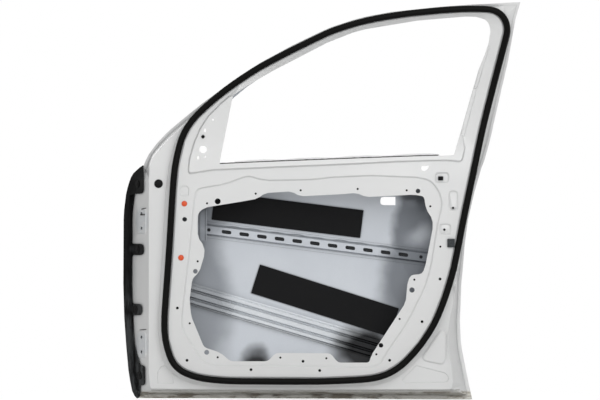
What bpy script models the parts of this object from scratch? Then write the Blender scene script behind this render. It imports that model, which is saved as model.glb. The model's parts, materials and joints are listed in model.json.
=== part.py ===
# Right front door shell of a car, without glass, trim or locks.
# It is drawn in a plan view from the cabin side, in millimetres: u runs rearward,
# v runs up and h is the height towards the cabin. The last step turns it into
# metres, with X rearward, Y outward and Z up.
import math

import bpy
import bmesh
from mathutils import Matrix, Vector
from mathutils.bvhtree import BVHTree
from mathutils.geometry import delaunay_2d_cdt

# Sheet metal
SKIN_T = 0.8                # outer skin
PANEL_T = 0.8               # inner panel
PLATE_T = 1.6               # reinforcement plates
STRIP_T = 0.9               # stiffener and belt strips
HINGE_PLATE_T = 5
GAP = 0.3                   # clearance between sheets that touch
WELD_GAP = 0.7              # clearance of plates that follow a curved sheet
EDGE_INSET = 1.6            # inner panel's edge inside the hem
HEM_SHORT = 2               # the hem is this much narrower than the flange

# Height of the outer skin and of the inner panel along v, towards the cabin
SKIN_PROFILE = ((-10, -94), (200, -116), (400, -124), (560, -119), (720, -98), (950, -36), (1200, 62))
PANEL_PROFILE = ((-10, 0), (350, 0), (690, 0), (790, -10), (950, 6), (1200, 98))
SKIN_BARREL = 20            # how far the skin comes in towards the front and rear edge
SKIN_MIDDLE = 560           # u of its deepest line
SKIN_HALF_LENGTH = 600

# Steps of the inner panel, measured from PANEL_PROFILE
SEAT_LEVEL = -3             # weatherstrip seat
LAND_LEVEL = -22            # land outside the weatherstrip
BELT_LEVEL = 8              # window sill and mirror corner
MODULE_LEVEL = -5           # face that carries the door module
RAMP = 5                    # width of a pressed step
EMBOSS = -4                 # depth of the shallow pockets

# Outlines: u, v, then the value that the line carries and the length of its rounding.
# Skin edge, with the width of the hem flange inside it
SKIN_EDGE = (
    (42, 3, 12, 0), (28, 19, 14), (17, 88, 14), (10, 162, 15), (4, 246, 18), (1, 348, 20),
    (2, 540, 20), (5, 597, 16), (14, 636, 12), (24, 669, 11), (39, 688, 11), (60, 702, 12, 5),
    (65, 722, 10), (85, 753, 8), (113, 786, 8), (142, 813, 8), (199, 860, 8), (242, 894, 5),
    (338, 963, 4.5), (411, 1011, 4.5), (506, 1062, 4.5), (601, 1107, 4.5), (651, 1128, 4.5),
    (728, 1148, 4.5), (805, 1162, 4.5), (951, 1177, 4.5), (1055, 1184, 5), (1089, 1185, 6),
    (1188, 1190, 9, 0), (1174, 1139, 9), (1155, 1020, 9), (1112, 822, 9), (1094, 737, 9),
    (1078, 697, 9), (1057, 624, 9), (1038, 540, 9), (1028, 464, 9), (1023, 397, 9), (1018, 348, 10),
    (1015, 270, 10), (1012, 198, 11), (1021, 141, 12), (1040, 44, 12), (1050, -1, 12, 0),
)
# Middle of the weatherstrip
SEAL_PATH = (
    (591, 55), (321, 56), (219, 64), (153, 96), (127, 162), (122, 204), (125, 264), (138, 444),
    (149, 630), (158, 744), (189, 822), (246, 886), (340, 955), (411, 1001), (505, 1050), (601, 1096),
    (660, 1123), (804, 1154), (951, 1168), (1055, 1176), (1125, 1168), (1155, 1122), (1142, 1068),
    (1081, 822), (1021, 540), (993, 394), (955, 267), (919, 196), (876, 139), (821, 88), (759, 62),
)
# Window sill, then the rest of the window opening of the inner panel, with their level
SILL = ((289, 708, 8, 4), (426, 714, 8), (681, 724, 8), (906, 732, 8), (992, 734, 8, 6))
WINDOW = SILL[::-1] + (
    (330, 914, 8, 10), (411, 968, -12), (552, 1040, -12), (651, 1091, -12), (728, 1111, -12),
    (880, 1136, -12), (998, 1146, -12), (1059, 1150, -12), (1100, 1132, -12), (1100, 1074, -12),
    (1066, 990, -12), (1015, 810, -12),
)
# Foot of the proud sill and mirror corner
STEP = (
    (316, 912), (268, 870), (240, 836), (220, 797), (203, 749), (195, 711, 0, 12), (194, 676, 0, 14),
    (270, 688), (426, 695), (666, 705), (827, 713), (926, 716), (987, 717, 0, 15), (1018, 711, 0, 15),
    (1028, 756),
)
# Outer edge of the land, where the side walls start
LAND = (
    (192, 834), (152, 799), (104, 750), (78, 711), (77, 585), (77, 210), (77, 84),
    (81, 34, 0, 8), (531, 32), (987, 32, 0, 8), (992, 72), (981, 128), (973, 185), (981, 246),
    (992, 300), (999, 348, 14),
)
# Inner edge of the land
LAND_IN = (
    (168, 801), (142, 744), (127, 630), (117, 447), (104, 246), (104, 162), (129, 85),
    (210, 42), (321, 39), (591, 39), (765, 41), (837, 71), (892, 127), (935, 187), (972, 260),
    (990, 335, 8),
)
# Foot of the step round the door module
MODULE = (
    (183, 330), (172, 234), (177, 208), (208, 158), (236, 114), (274, 100), (456, 100), (666, 96),
    (729, 93), (770, 101), (797, 146), (861, 241), (881, 284), (907, 333), (926, 398), (946, 525),
    (961, 589), (952, 624), (928, 658), (896, 670), (746, 676), (610, 670), (579, 664), (423, 661),
    (375, 676), (302, 649), (244, 640), (218, 634), (208, 582), (206, 540), (196, 444),
)
# Service opening
SERVICE = (
    (224, 534), (225, 560), (243, 577), (354, 595), (404, 604), (426, 621), (506, 626), (531, 611),
    (666, 618), (700, 622), (729, 609), (873, 616), (903, 611), (909, 573), (929, 542), (929, 513),
    (906, 397), (897, 378), (864, 375), (854, 356), (848, 292), (744, 133), (739, 112), (645, 112),
    (622, 140), (458, 141), (434, 116), (322, 116), (292, 142), (243, 158), (204, 252), (200, 303),
    (208, 364), (229, 384), (245, 438), (243, 462), (224, 489),
)
SERVICE_ROUNDING = 9

# Round holes of the inner panel: u, v, radius
LARGE_HOLES = ((284, 596, 9), (885, 627, 7), (185, 542, 7), (217, 386, 7), (251, 143, 7.5),
               (867, 330, 8), (774, 164, 7))
CLIP_HOLES = ((163, 276), (192, 119), (384, 91), (590, 88.5), (800, 119), (897, 235), (951, 363),
              (964, 511), (990, 576), (540, 116))
SCREW_HOLES = ((252, 590), (398, 619), (533, 629), (704, 633), (851, 629), (922, 581), (952, 460),
               (874, 361), (830, 243), (760, 137), (610, 125), (472, 127), (284, 128), (200, 230),
               (224, 416))
CLIP_HOLE_R = 4
SCREW_HOLE_R = 2.5
TRIANGLE_HOLE = ((895, 702), (919, 703), (914, 692), (903, 686), (895, 690))

# Pressed pockets of the inner panel: u, v, width, height
POCKETS = ((957, 667, 44, 34), (991, 598, 30, 62), (966, 511, 38, 38))
TRIANGLE_EMBOSS = ((955, 204), (966, 200), (966, 118), (958, 109), (905, 120), (903, 128))

# Belt strips, measured from the sill and from the skin's belt edge
SILL_LIP = 8
SILL_LIP_DROP = 3
SILL_FOOT = 11
SILL_NOTCH_PITCH = 58
SKIN_BELT = ((236, 682), (960, 680))
OUTER_BELT_SECTION = ((4, 0), (10, 0), (15, 8), (29, 8), (34, 0), (41, 0))

# Window opening of the skin, which also leaves the mirror corner open
SKIN_WINDOW = (
    (214, 682, 0, 8), (212, 702), (214, 752), (232, 795), (252, 832), (278, 864), (326, 903, 0, 10),
    (409, 971), (551, 1043), (650, 1094), (727, 1114), (880, 1139), (998, 1149), (1061, 1153),
    (1104, 1134), (1104, 1073), (1069, 989), (1018, 809), (988, 690, 0, 12), (970, 680, 0, 12),
    (600, 682),
)
SKIN_GRID = 62
STATION = 80                # longest straight piece of an outline

# Mirror corner
MIRROR_HOLES = ((270, 841, 3, 3), (246, 809, 3.3, 5.2), (240, 752, 12, 12), (226, 727, 3.3, 6),
                (247, 730, 3.3, 3.3))
MIRROR_PLATE = ((279, 712), (321, 902), (311, 896), (272, 858), (250, 829), (231, 792), (214, 746),
                (207, 712), (207, 699), (270, 700))
MIRROR_PLATE_GRID = 20
MIRROR_INSERT = (240, 790)
INSERT_SIZE = 9

# Hinge face
HINGE_U = 54
UPPER_HINGE_V = 537
LOWER_HINGE_V = 165
HINGE_PAD_H = -51           # height of both hinge pads at their middle
HINGE_PAD_SLOPE = 1.47      # rise of the pads towards the rear
HINGE_PAD_RAMP = 4
HINGE_PAD_WIDTH = 24
HINGE_PAD_HEIGHT = 72
HINGE_BOLT_R = 5.5
HINGE_BOLT_SPAN = 44

# Flat latch face in the rear wall: its middle, its lean in plan and its steep slope
LATCH_FACE = (1004.8, 408, -48)
LATCH_FACE_LEAN = 0.17
LATCH_FACE_SLOPE = -9
LATCH_FACE_SIZE = (8, 64)       # width in plan and height
LATCH_HOLE_SIZE = (5.2, 44)
LATCH_PLATE_SIZE = (6.6, 56)

# Door handle in the skin
HANDLE_FRONT = (774, 792, 585, 609)     # u from, u to, v from, v to
HANDLE_REAR = (948, 978, 583, 611)
CUP = (872, 590)
CUP_LENGTH = 62
CUP_HEIGHT = 44
CUP_DEPTH = 14

# Rubber
SEAL_WIDTH = 19
SEAL_HEIGHT = 15
SEAL_GAP = 0.8
SEAL_SEAT_OUT = 3           # the seat ends this far outside the middle of the strip
HINGE_SEAL_T = 2.6
LOBE_GAP = 2.2
HINGE_SEAL_WIDTH = 22
HINGE_SEAL_BULGE = 9
HINGE_SEAL_ENDS = (25, 620)          # v between which the strip has its full section
LOBES = ((45, 648, 30, 58), (45, 451, 30, 34), (39, 270, 32, 34), (52, 72, 24, 60))
LOBE_CLIP_HEAD_R = 8
CLIP_STEM_R = 3

# Slotted stiffener of the skin
STIFFENER_START = (190, 518)
STIFFENER_END = (975, 418)
STIFFENER_HEIGHT = 48
STIFFENER_WEB = 23
STIFFENER_FLANGE = 8
STIFFENER_RISE = 12
STIFFENER_SLOTS = 11
SLOT_PITCH = 53.4
SLOT_LENGTH = 29
SLOT_HEIGHT = 11
FIRST_SLOT_U = 309

# Channel for the front edge of the door glass
GUIDE_SECTION = ((214, -6), (222, -6), (228, -50), (249, -50), (249, -38))
GUIDE_ENDS = (478, 574)

# Impact beam
BEAM_START = (112, 343)
BEAM_END = (962, 94)
BEAM_SECTION = ((32, 0), (28, 0), (24, 14), (16, 14), (12, 3), (9, 3), (5, 14), (-7, 14), (-11, 3),
                (-14, 3), (-18, 14), (-25, 14), (-29, 0), (-32, 0))
BEAM_T = 1.4
BEAM_STAND_OFF = 7
# End brackets: u under the beam, past its end, of the bend and of both edges of the wall flange
FRONT_BRACKET = (150, 104, 48, 52, 64)
REAR_BRACKET = (925, 970, 1000, 1001, 994)
BRACKET_HEIGHT = 62

# Damping pads on the skin: u, v of the lower front corner, length, height, slope
UPPER_PAD = (264, 541, 452, 84, -0.124)
LOWER_PAD = (383, 319, 440, 90, -0.316)
PAD_T = 3

PLUG_T = 2.5
PLUG_GAP = 0.6
PLUG_STEM_R = 4.5
ORANGE_PLUGS = ((184, 589), (174, 427))
ORANGE_PLUG_R = 8.5
LAND_PLUG = (106, 649)
LAND_PLUG_R = 13
SQUARE_INSERT = (953, 665)
FOAM = (984, 471)
FOAM_SIZE = (22, 25, 6)

HINGE_NORMAL = Vector((-HINGE_PAD_SLOPE, 0, 1)).normalized()
ORIGIN = Vector((HINGE_U, UPPER_HINGE_V, HINGE_PAD_H)) + HINGE_NORMAL * PANEL_T / 2


def profile(table, v):
    """Smooth height along v, a cubic through the table's points."""
    last = len(table) - 2
    i = next((k for k in range(last) if v < table[k + 1][0]), last)

    def tangent(k):
        a, b = table[max(k - 1, 0)], table[min(k + 1, len(table) - 1)]
        return (b[1] - a[1]) / (b[0] - a[0])

    (v0, h0), (v1, h1) = table[i], table[i + 1]
    span = v1 - v0
    t = min(max((v - v0) / span, 0), 1)
    m0, m1 = tangent(i) * span, tangent(i + 1) * span
    return ((2 * t ** 3 - 3 * t ** 2 + 1) * h0 + (t ** 3 - 2 * t ** 2 + t) * m0
            + (3 * t ** 2 - 2 * t ** 3) * h1 + (t ** 3 - t ** 2) * m1)


def panel_h(v):
    return profile(PANEL_PROFILE, v)


def skin_h(u, v):
    barrel = SKIN_BARREL * ((u - SKIN_MIDDLE) / SKIN_HALF_LENGTH) ** 2
    reach = math.hypot((u - CUP[0]) / CUP_LENGTH, (v - CUP[1]) / CUP_HEIGHT)
    cup = CUP_DEPTH * (0.5 + 0.5 * math.cos(math.pi * reach)) if reach < 1 else 0
    return profile(SKIN_PROFILE, v) + barrel + cup


def rounded(points, closed=False, cut=45, turn=13, longest=80):
    """Line through corner points (u, v, value, cut), each corner rounded off."""
    full = [Vector((p[0], p[1], p[2] if len(p) > 2 else 0)) for p in points]
    cuts = [p[3] if len(p) > 3 else cut for p in points]
    line = []
    count = len(full)
    for i, corner in enumerate(full):
        if not closed and i in (0, count - 1):
            line.append(corner)
            continue
        before, after = full[i - 1], full[(i + 1) % count]
        back, ahead = before - corner, after - corner
        angle = math.degrees(math.pi - back.xy.angle(ahead.xy))
        pieces = round(angle / turn)
        if pieces < 1 or not cuts[i]:
            line.append(corner)
            continue
        a = corner + back * min(0.5, cuts[i] / back.xy.length)
        b = corner + ahead * min(0.5, cuts[i] / ahead.xy.length)
        for k in range(pieces + 1):
            t = k / pieces
            line.append(a.lerp(corner, t).lerp(corner.lerp(b, t), t))
    spaced = []
    for i, point in enumerate(line):
        if spaced and (point - spaced[-1]).xy.length < 0.5:
            continue
        spaced.append(point)
        if i + 1 < len(line) or closed:
            after = line[(i + 1) % len(line)]
            parts = math.ceil((after - point).xy.length / longest)
            spaced += [point.lerp(after, k / parts) for k in range(1, parts)]
    if closed and (spaced[0] - spaced[-1]).xy.length < 0.5:
        spaced.pop()
    return spaced


def offset(line, distance, closed=False):
    """Line moved sideways in plan, to the right of its direction; distance may be a list."""
    moved = []
    count = len(line)
    for i, point in enumerate(line):
        before = line[i - 1] if closed or i else point
        after = line[(i + 1) % count] if closed or i < count - 1 else point
        along = [d.xy.normalized() for d in (point - before, after - point) if d.xy.length]
        sides = [Vector((d.y, -d.x)) for d in along]
        mean = (sides[0] + sides[-1]).normalized()
        reach = distance[i] if isinstance(distance, list) else distance
        step = mean * (reach / max(mean.dot(sides[0]), 0.4))
        moved.append(Vector((point.x + step.x, point.y + step.y, point.z)))
    return moved


def ellipse(u, v, radius_u, radius_v=None, sides=8):
    radius_v = radius_v or radius_u
    turns = [math.tau * (k + 0.5) / sides for k in range(sides)]
    return [Vector((u + radius_u * math.cos(a), v + radius_v * math.sin(a), 0)) for a in turns]


def box_line(u, v, width, height, corner, slope=0):
    """Rounded rectangle around u, v; slope shears it along u."""
    half_u, half_v = width / 2, height / 2
    corners = [(u + su * half_u, v + sv * half_v + slope * su * half_u, 0, corner)
               for su, sv in ((-1, -1), (1, -1), (1, 1), (-1, 1))]
    return rounded(corners, True, turn=30)


def inside(u, v, polygon):
    hit = False
    for a, b in zip(polygon, polygon[1:] + polygon[:1]):
        if (a.y > v) != (b.y > v) and u < a.x + (v - a.y) / (b.y - a.y) * (b.x - a.x):
            hit = not hit
    return hit


class Plan:
    """Lines drawn in plan, each point with its height, that become one surface."""

    def __init__(self, outline):
        self.points = []
        self.edges = []
        self.voids = []
        self.outline = outline
        self.line(outline, True)

    def line(self, points, closed=False):
        first = len(self.points)
        self.points += [p.copy() for p in points]
        last = len(self.points) - 1
        self.edges += [(k, k + 1) for k in range(first, last)]
        if closed:
            self.edges.append((last, first))
        return range(first, last + 1)

    def hole(self, points):
        self.voids.append(points)
        return self.line(points, True)

    def triangles(self):
        flat = [p.xy for p in self.points]
        verts, _, faces, sources, _, _ = delaunay_2d_cdt(flat, self.edges, [], 0, 1e-5)
        crossings = [(round(vert.x), round(vert.y)) for vert, source in zip(verts, sources) if not source]
        if crossings:
            raise ValueError("lines cross at %s" % crossings)
        kept = []
        boxes = [(min(p.x for p in s), max(p.x for p in s), min(p.y for p in s), max(p.y for p in s), s)
                 for s in self.voids]
        for face in faces:
            u = sum(verts[k].x for k in face) / 3
            v = sum(verts[k].y for k in face) / 3
            if not inside(u, v, self.outline):
                continue
            if any(a < u < b and c < v < d and inside(u, v, s) for a, b, c, d, s in boxes):
                continue
            kept.append([sources[k][0] for k in face])
        return kept

    def surface(self):
        return Surface(self.points, self.triangles())


class Surface:
    """Triangulated surface that gives its height and slope at any point in plan."""

    def __init__(self, points, faces):
        self.tree = BVHTree.FromPolygons(points, faces)

    def under(self, u, v, distance=0):
        """Height at u, v of a sheet that lies this far below the surface."""
        place, normal, _, _ = self.tree.ray_cast(Vector((u, v, 900)), Vector((0, 0, -1)))
        return place.z - distance / abs(normal.z)

    def normal(self, u, v):
        return self.tree.ray_cast(Vector((u, v, 900)), Vector((0, 0, -1)))[1]

    def drape(self, points):
        return [Vector((p.x, p.y, self.under(p.x, p.y))) for p in points]

    def behind(self, points, distance):
        """Points moved square to the surface, to its hidden side."""
        return [p - self.normal(p.x, p.y) * distance for p in self.drape(points)]


def on_skin(points, distance=0):
    """Points laid on the outer skin's inner side, this far towards the cabin."""
    return [Vector((p.x, p.y, skin_h(p.x, p.y) + distance)) for p in points]


def raised(points, level):
    """Points on the inner panel at this level, plus what each point carries."""
    return [Vector((p.x, p.y, panel_h(p.y) + level + p.z)) for p in points]


def material(name, colour, roughness, metallic=0.0):
    surface = bpy.data.materials.get(name) or bpy.data.materials.new(name)
    surface.use_nodes = True
    shader = surface.node_tree.nodes["Principled BSDF"]
    shader.inputs["Base Color"].default_value = (*colour, 1)
    shader.inputs["Roughness"].default_value = roughness
    shader.inputs["Metallic"].default_value = metallic
    surface.diffuse_color = (*colour, 1)
    return surface


WHITE = ("white_paint", (0.72, 0.72, 0.71), 0.35)
PRIMER = ("grey_primer", (0.50, 0.53, 0.57), 0.45)
BLACK_RUBBER = ("black_rubber", (0.013, 0.013, 0.013), 0.6)
BLACK_PAD = ("black_pad", (0.016, 0.016, 0.016), 0.8)
BLACK_PLASTIC = ("black_plastic", (0.012, 0.012, 0.012), 0.45)
ORANGE_PLASTIC = ("orange_plastic", (0.72, 0.10, 0.03), 0.5)
GREY_FOAM = ("grey_foam", (0.055, 0.06, 0.062), 0.9)
STEEL = ("zinc_steel", (0.42, 0.43, 0.44), 0.4, 0.8)


class Model:
    """The door's pieces, all hung from one empty that turns the plan view upright."""

    def __init__(self):
        for obj in list(bpy.data.objects):
            bpy.data.objects.remove(obj, do_unlink=True)
        self.pieces = bpy.data.collections.new("car_door_shell")
        self.helpers = bpy.data.collections.new("helpers")
        for group in (self.pieces, self.helpers):
            bpy.context.scene.collection.children.link(group)
        self.drawing = bpy.data.objects.new("drawing", None)
        self.pieces.objects.link(self.drawing)
        self.drawing.rotation_euler.x = math.pi / 2
        self.drawing.location = Vector((-ORIGIN.x, ORIGIN.z, -ORIGIN.y)) / 1000

    def add(self, name, data, look, helper=False):
        if look:
            data.materials.append(material(*look))
        obj = bpy.data.objects.new(name, data)
        (self.helpers if helper else self.pieces).objects.link(obj)
        obj.parent = self.drawing
        if helper:
            obj.hide_render = True
            obj.display_type = "WIRE"
        return obj

    def sheet(self, name, points, faces, thickness, look):
        """Open surface in plan coordinates, thickened to a sheet."""
        mesh = bpy.data.meshes.new(name)
        used = sorted({k for face in faces for k in face})
        index = {k: i for i, k in enumerate(used)}
        mesh.from_pydata([points[k] / 1000 for k in used], [], [[index[k] for k in f] for f in faces])
        obj = self.add(name, mesh, look)
        solid = obj.modifiers.new("Sheet", "SOLIDIFY")
        solid.thickness = thickness / 1000
        solid.offset = 0
        solid.use_even_offset = True
        return obj

    def plan(self, name, plan, thickness, look):
        return self.sheet(name, plan.points, plan.triangles(), thickness, look)

    def turned(self, name, outline, look, place, normal, sides=12):
        """Turned piece: a (radius, height) outline about the normal at place."""
        mesh = bpy.data.meshes.new(name)
        points = [Vector((r, 0, z)) / 1000 for r, z in outline]
        mesh.from_pydata(points, [(k, k + 1) for k in range(len(points) - 1)], [])
        obj = self.add(name, mesh, look)
        screw = obj.modifiers.new("Turn", "SCREW")
        screw.steps = screw.render_steps = sides
        screw.use_merge_vertices = True
        screw.merge_threshold = 0.00001
        obj.rotation_mode = "QUATERNION"
        obj.rotation_quaternion = normal.to_track_quat("Z", "Y")
        obj.location = place / 1000
        return obj

    def block(self, name, size, look, place, normal, turn=0, bevel=0.8):
        """Box that stands on the surface at place, its edges bevelled."""
        mesh = bpy.data.meshes.new(name)
        shape = bmesh.new()
        bmesh.ops.create_cube(shape, size=1)
        width, height, depth = size
        for vert in shape.verts:
            vert.co = Vector((vert.co.x * width, vert.co.y * height, (vert.co.z + 0.5) * depth)) / 1000
        bmesh.ops.rotate(shape, verts=shape.verts, matrix=Matrix.Rotation(turn, 3, "Z"))
        shape.to_mesh(mesh)
        shape.free()
        obj = self.add(name, mesh, look)
        edge = obj.modifiers.new("Edge", "BEVEL")
        edge.width = bevel / 1000
        edge.segments = 1
        obj.rotation_mode = "QUATERNION"
        obj.rotation_quaternion = Vector((0, 0, 1)).rotation_difference(normal)
        obj.location = place / 1000
        return obj


def skin_edge():
    edge = rounded(SKIN_EDGE, True, longest=STATION)
    return edge, [p.z for p in edge]


def seal_path():
    return rounded(SEAL_PATH, True, longest=STATION)


def panel_lines():
    """Lines of the inner panel's pressing, from the hem flange to the window."""
    edge, widths = skin_edge()
    flange = (SKIN_T + PANEL_T) / 2 + GAP
    plan = Plan(on_skin(offset(edge, EDGE_INSET, True), flange))
    plan.line(on_skin(offset(edge, widths, True), flange), True)
    path = seal_path()
    plan.line(raised(offset(path, -SEAL_SEAT_OUT, True), SEAT_LEVEL), True)
    plan.line(raised(offset(path, SEAL_WIDTH / 2, True), SEAT_LEVEL), True)
    plan.line(raised(offset(path, SEAL_WIDTH / 2 + RAMP, True), 0), True)
    for land in (LAND, LAND_IN):
        plan.line(raised(rounded(land), LAND_LEVEL))
    step = rounded(STEP)
    plan.line(raised(step, 0))
    plan.line(raised(offset(step, -RAMP), BELT_LEVEL))
    plan.hole(raised(rounded(WINDOW, True, longest=STATION), 0))
    plan.line(latch_shape(LATCH_FACE_SIZE), True)
    module = rounded(MODULE, True, cut=16)
    plan.line(raised(module, 0), True)
    plan.line(raised(offset(module, -RAMP, True), MODULE_LEVEL), True)
    plan.hole(raised(rounded(SERVICE, True, cut=SERVICE_ROUNDING, turn=24), MODULE_LEVEL))
    return plan


def latch_shape(size):
    """Upright shape on the latch face, which is a steep plane."""
    u, v, h = LATCH_FACE
    width, height = size
    corners = []
    for side, end in ((-1, -1), (1, -1), (1, 1), (-1, 1)):
        rise = end * height / 2
        corners.append((u + LATCH_FACE_LEAN * rise + side * width / 2, v + rise,
                        h + LATCH_FACE_SLOPE * side * width / 2))
    return rounded(corners, True, cut=1.2, turn=45)


def latch_normal():
    return Vector((-LATCH_FACE_SLOPE, LATCH_FACE_SLOPE * LATCH_FACE_LEAN, 1)).normalized()


def emboss(plan, base, shape):
    """Shallow pocket pressed into the panel."""
    plan.line(base.drape(shape), True)
    floor = base.drape(offset(shape, -RAMP, True))
    plan.line([Vector((p.x, p.y, p.z + EMBOSS)) for p in floor], True)


def on_hinge_pad(points):
    return [Vector((p.x, p.y, HINGE_PAD_H + HINGE_PAD_SLOPE * (p.x - HINGE_U))) for p in points]


def ring_on(normal, u, v, radius, sides=8):
    """Circle square to a sloping face, with its heights from its own middle."""
    turn = normal.to_track_quat("Z", "Y")
    return [Vector((u, v, 0)) + turn @ p for p in ellipse(0, 0, radius, sides=sides)]


def hinge_bolt_rings(v, radius):
    return [on_hinge_pad(ring_on(HINGE_NORMAL, HINGE_U, v + side * HINGE_BOLT_SPAN / 2, radius))
            for side in (-1, 1)]


def inner_panel(model, base):
    plan = panel_lines()
    for v in (UPPER_HINGE_V, LOWER_HINGE_V):
        pad = box_line(HINGE_U, v, HINGE_PAD_WIDTH, HINGE_PAD_HEIGHT, 5)
        plan.line(base.drape(offset(pad, HINGE_PAD_RAMP, True)), True)
        plan.line(on_hinge_pad(pad), True)
        for ring in hinge_bolt_rings(v, HINGE_BOLT_R):
            plan.hole(ring)
    for u, v, width, height in POCKETS:
        emboss(plan, base, box_line(u, v, width, height, 12))
    emboss(plan, base, rounded(TRIANGLE_EMBOSS, True, cut=6, turn=30))
    rings = [ellipse(u, v, r, sides=12) for u, v, r in LARGE_HOLES]
    rings += [ellipse(u, v, CLIP_HOLE_R) for u, v in CLIP_HOLES]
    rings += [ellipse(u, v, SCREW_HOLE_R, sides=6) for u, v in SCREW_HOLES]
    rings += [ring_on(base.normal(u, v), u, v, PLUG_STEM_R + 2 * GAP) for u, v in plug_places()]
    rings += [ellipse(*hole) for hole in MIRROR_HOLES]
    rings.append(rounded(TRIANGLE_HOLE, True, cut=4, turn=30))
    for ring in rings:
        plan.hole(base.drape(ring))
    plan.hole(latch_shape(LATCH_HOLE_SIZE))
    model.plan("inner_panel", plan, PANEL_T, WHITE)


def strip(model, name, lines, thickness, look):
    """Folded strip through lines that run side by side."""
    points = [p for line in lines for p in line]
    row = len(lines[0])
    faces = [[a, a + row, a + row + 1, a + 1]
             for k in range(len(lines) - 1) for a in range(k * row, k * row + row - 1)]
    model.sheet(name, points, faces, thickness, look)


def belt_strips(model):
    """Strip behind the sill, whose lip stands above it, and a hat strip on the skin's belt edge."""
    sill = rounded([(p[0], p[1]) for p in SILL], longest=SILL_NOTCH_PITCH)[1:-1]
    weld = BELT_LEVEL - (PANEL_T + STRIP_T) / 2 - WELD_GAP
    notched = [SILL_LIP if k % 3 else SILL_LIP - 3 for k in range(len(sill))]
    lines = [raised(offset(sill, [-n for n in notched]), weld - SILL_LIP_DROP),
             raised(offset(sill, 1), weld - SILL_LIP_DROP),
             raised(offset(sill, SILL_FOOT / 2), weld),
             raised(offset(sill, SILL_FOOT), weld)]
    strip(model, "belt_reinforcement_inner", lines, STRIP_T, PRIMER)
    belt = axis_stations(*SKIN_BELT, 12)
    lift = (SKIN_T + STRIP_T) / 2 + WELD_GAP
    lines = [on_skin(offset(belt, down), lift + rise) for down, rise in OUTER_BELT_SECTION]
    strip(model, "belt_reinforcement_outer", lines, STRIP_T, PRIMER)


def mirror_mount_plate(model, base):
    depth = (PANEL_T + PLATE_T) / 2 + WELD_GAP
    outline = rounded(MIRROR_PLATE, True, cut=6, turn=30, longest=MIRROR_PLATE_GRID)
    plan = Plan(base.behind(outline, depth))
    for hole in MIRROR_HOLES:
        plan.hole(base.behind(ellipse(*hole), depth))
    steps = range(9, 60)
    spots = [Vector((a * MIRROR_PLATE_GRID, b * MIRROR_PLATE_GRID, 0)) for a in steps for b in steps]
    spots = [s for s in spots if inside(s.x, s.y, outline)]
    plan.points += base.behind([s for s in spots if all(clear_of(s, o, 5) for o in plan.voids)], depth)
    model.plan("mirror_mount_plate", plan, PLATE_T, STEEL)


def hinge_plates(model):
    """Tapped plates right behind the hinge pads."""
    depth = (PANEL_T + HINGE_PLATE_T) / 2 + GAP
    for name, v in (("hinge_plate_upper", UPPER_HINGE_V), ("hinge_plate_lower", LOWER_HINGE_V)):
        shape = box_line(HINGE_U, v, HINGE_PAD_WIDTH - 4, HINGE_PAD_HEIGHT - 8, 3)
        plan = Plan([p - HINGE_NORMAL * depth for p in on_hinge_pad(shape)])
        for ring in hinge_bolt_rings(v, HINGE_BOLT_R - 1):
            plan.hole([p - HINGE_NORMAL * depth for p in ring])
        model.plan(name, plan, HINGE_PLATE_T, STEEL)


def latch_plate(model):
    shift = latch_normal() * ((PANEL_T + PLATE_T) / 2 + GAP)
    plan = Plan([p - shift for p in latch_shape(LATCH_PLATE_SIZE)])
    plan.hole([p - shift for p in latch_shape(LATCH_HOLE_SIZE)])
    model.plan("latch_plate", plan, PLATE_T, STEEL)


def glass_guide(model):
    middle = sum(GUIDE_ENDS) / 2
    lines = [[Vector((u, v, h)) for v in (GUIDE_ENDS[0], middle, GUIDE_ENDS[1])]
             for u, h in GUIDE_SECTION]
    strip(model, "glass_guide", lines[::-1], PLATE_T, STEEL)


def beam_brackets(model, base):
    """Each bracket runs under the beam's end, turns up and lies along the side wall."""
    under_beam = SKIN_T / 2 + BEAM_STAND_OFF - WELD_GAP - PLATE_T / 2
    along = Vector((*BEAM_END, 0)) - Vector((*BEAM_START, 0))
    across = Vector((-along.y, along.x, 0)).normalized()
    depth = (PANEL_T + PLATE_T) / 2 + WELD_GAP
    for name, end, reach in (("beam_bracket_front", BEAM_START, FRONT_BRACKET),
                             ("beam_bracket_rear", BEAM_END, REAR_BRACKET)):
        lines = []
        for k, u in enumerate(reach):
            middle = Vector((u, end[1] + along.y / along.x * (u - end[0]), 0))
            line = [middle + across * BRACKET_HEIGHT * (n / 3 - 0.5) for n in range(4)]
            if k < 2:
                lines.append([Vector((p.x, p.y, skin_h(middle.x, middle.y) + under_beam)) for p in line])
            elif k == 2:
                lines.append(on_skin(line, under_beam))
            else:
                lines.append(base.behind(line, depth))
        strip(model, name, lines, PLATE_T, STEEL)


def plug_places():
    return ORANGE_PLUGS + (LAND_PLUG,) + tuple((u, v) for u, v, *_ in LOBES)


def clear_of(spot, ring, distance):
    """True where spot is outside the ring and this far from it."""
    if inside(spot.x, spot.y, ring):
        return False
    for a, b in zip(ring, ring[1:] + ring[:1]):
        run = (b - a).xy
        t = min(max((spot - a).xy.dot(run) / run.length_squared, 0), 1)
        if (spot.xy - a.xy.lerp(b.xy, t)).length < distance:
            return False
    return True


def cup_reach(u, v):
    return math.hypot((u - CUP[0]) / CUP_LENGTH, (v - CUP[1]) / CUP_HEIGHT)


def skin_grid(edge, widths, openings):
    """Points that carry the skin's curve: a square grid, and rings round the handle cup."""
    foot = offset(edge, [w + 12 for w in widths], True)
    rings = [0.35, 0.7, 1]
    spots = [Vector((CUP[0], CUP[1], 0))]
    for r in rings:
        spots += ellipse(CUP[0], CUP[1], CUP_LENGTH * r, CUP_HEIGHT * r, 12)
    cells = range(1, math.ceil(max(p.x for p in edge) / SKIN_GRID))
    spots += [Vector((k * SKIN_GRID, n * SKIN_GRID, 0)) for k in cells for n in cells
              if cup_reach(k * SKIN_GRID, n * SKIN_GRID) > 1.2]
    return [s for s in spots if inside(s.x, s.y, foot) and all(clear_of(s, o, 9) for o in openings)]


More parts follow.
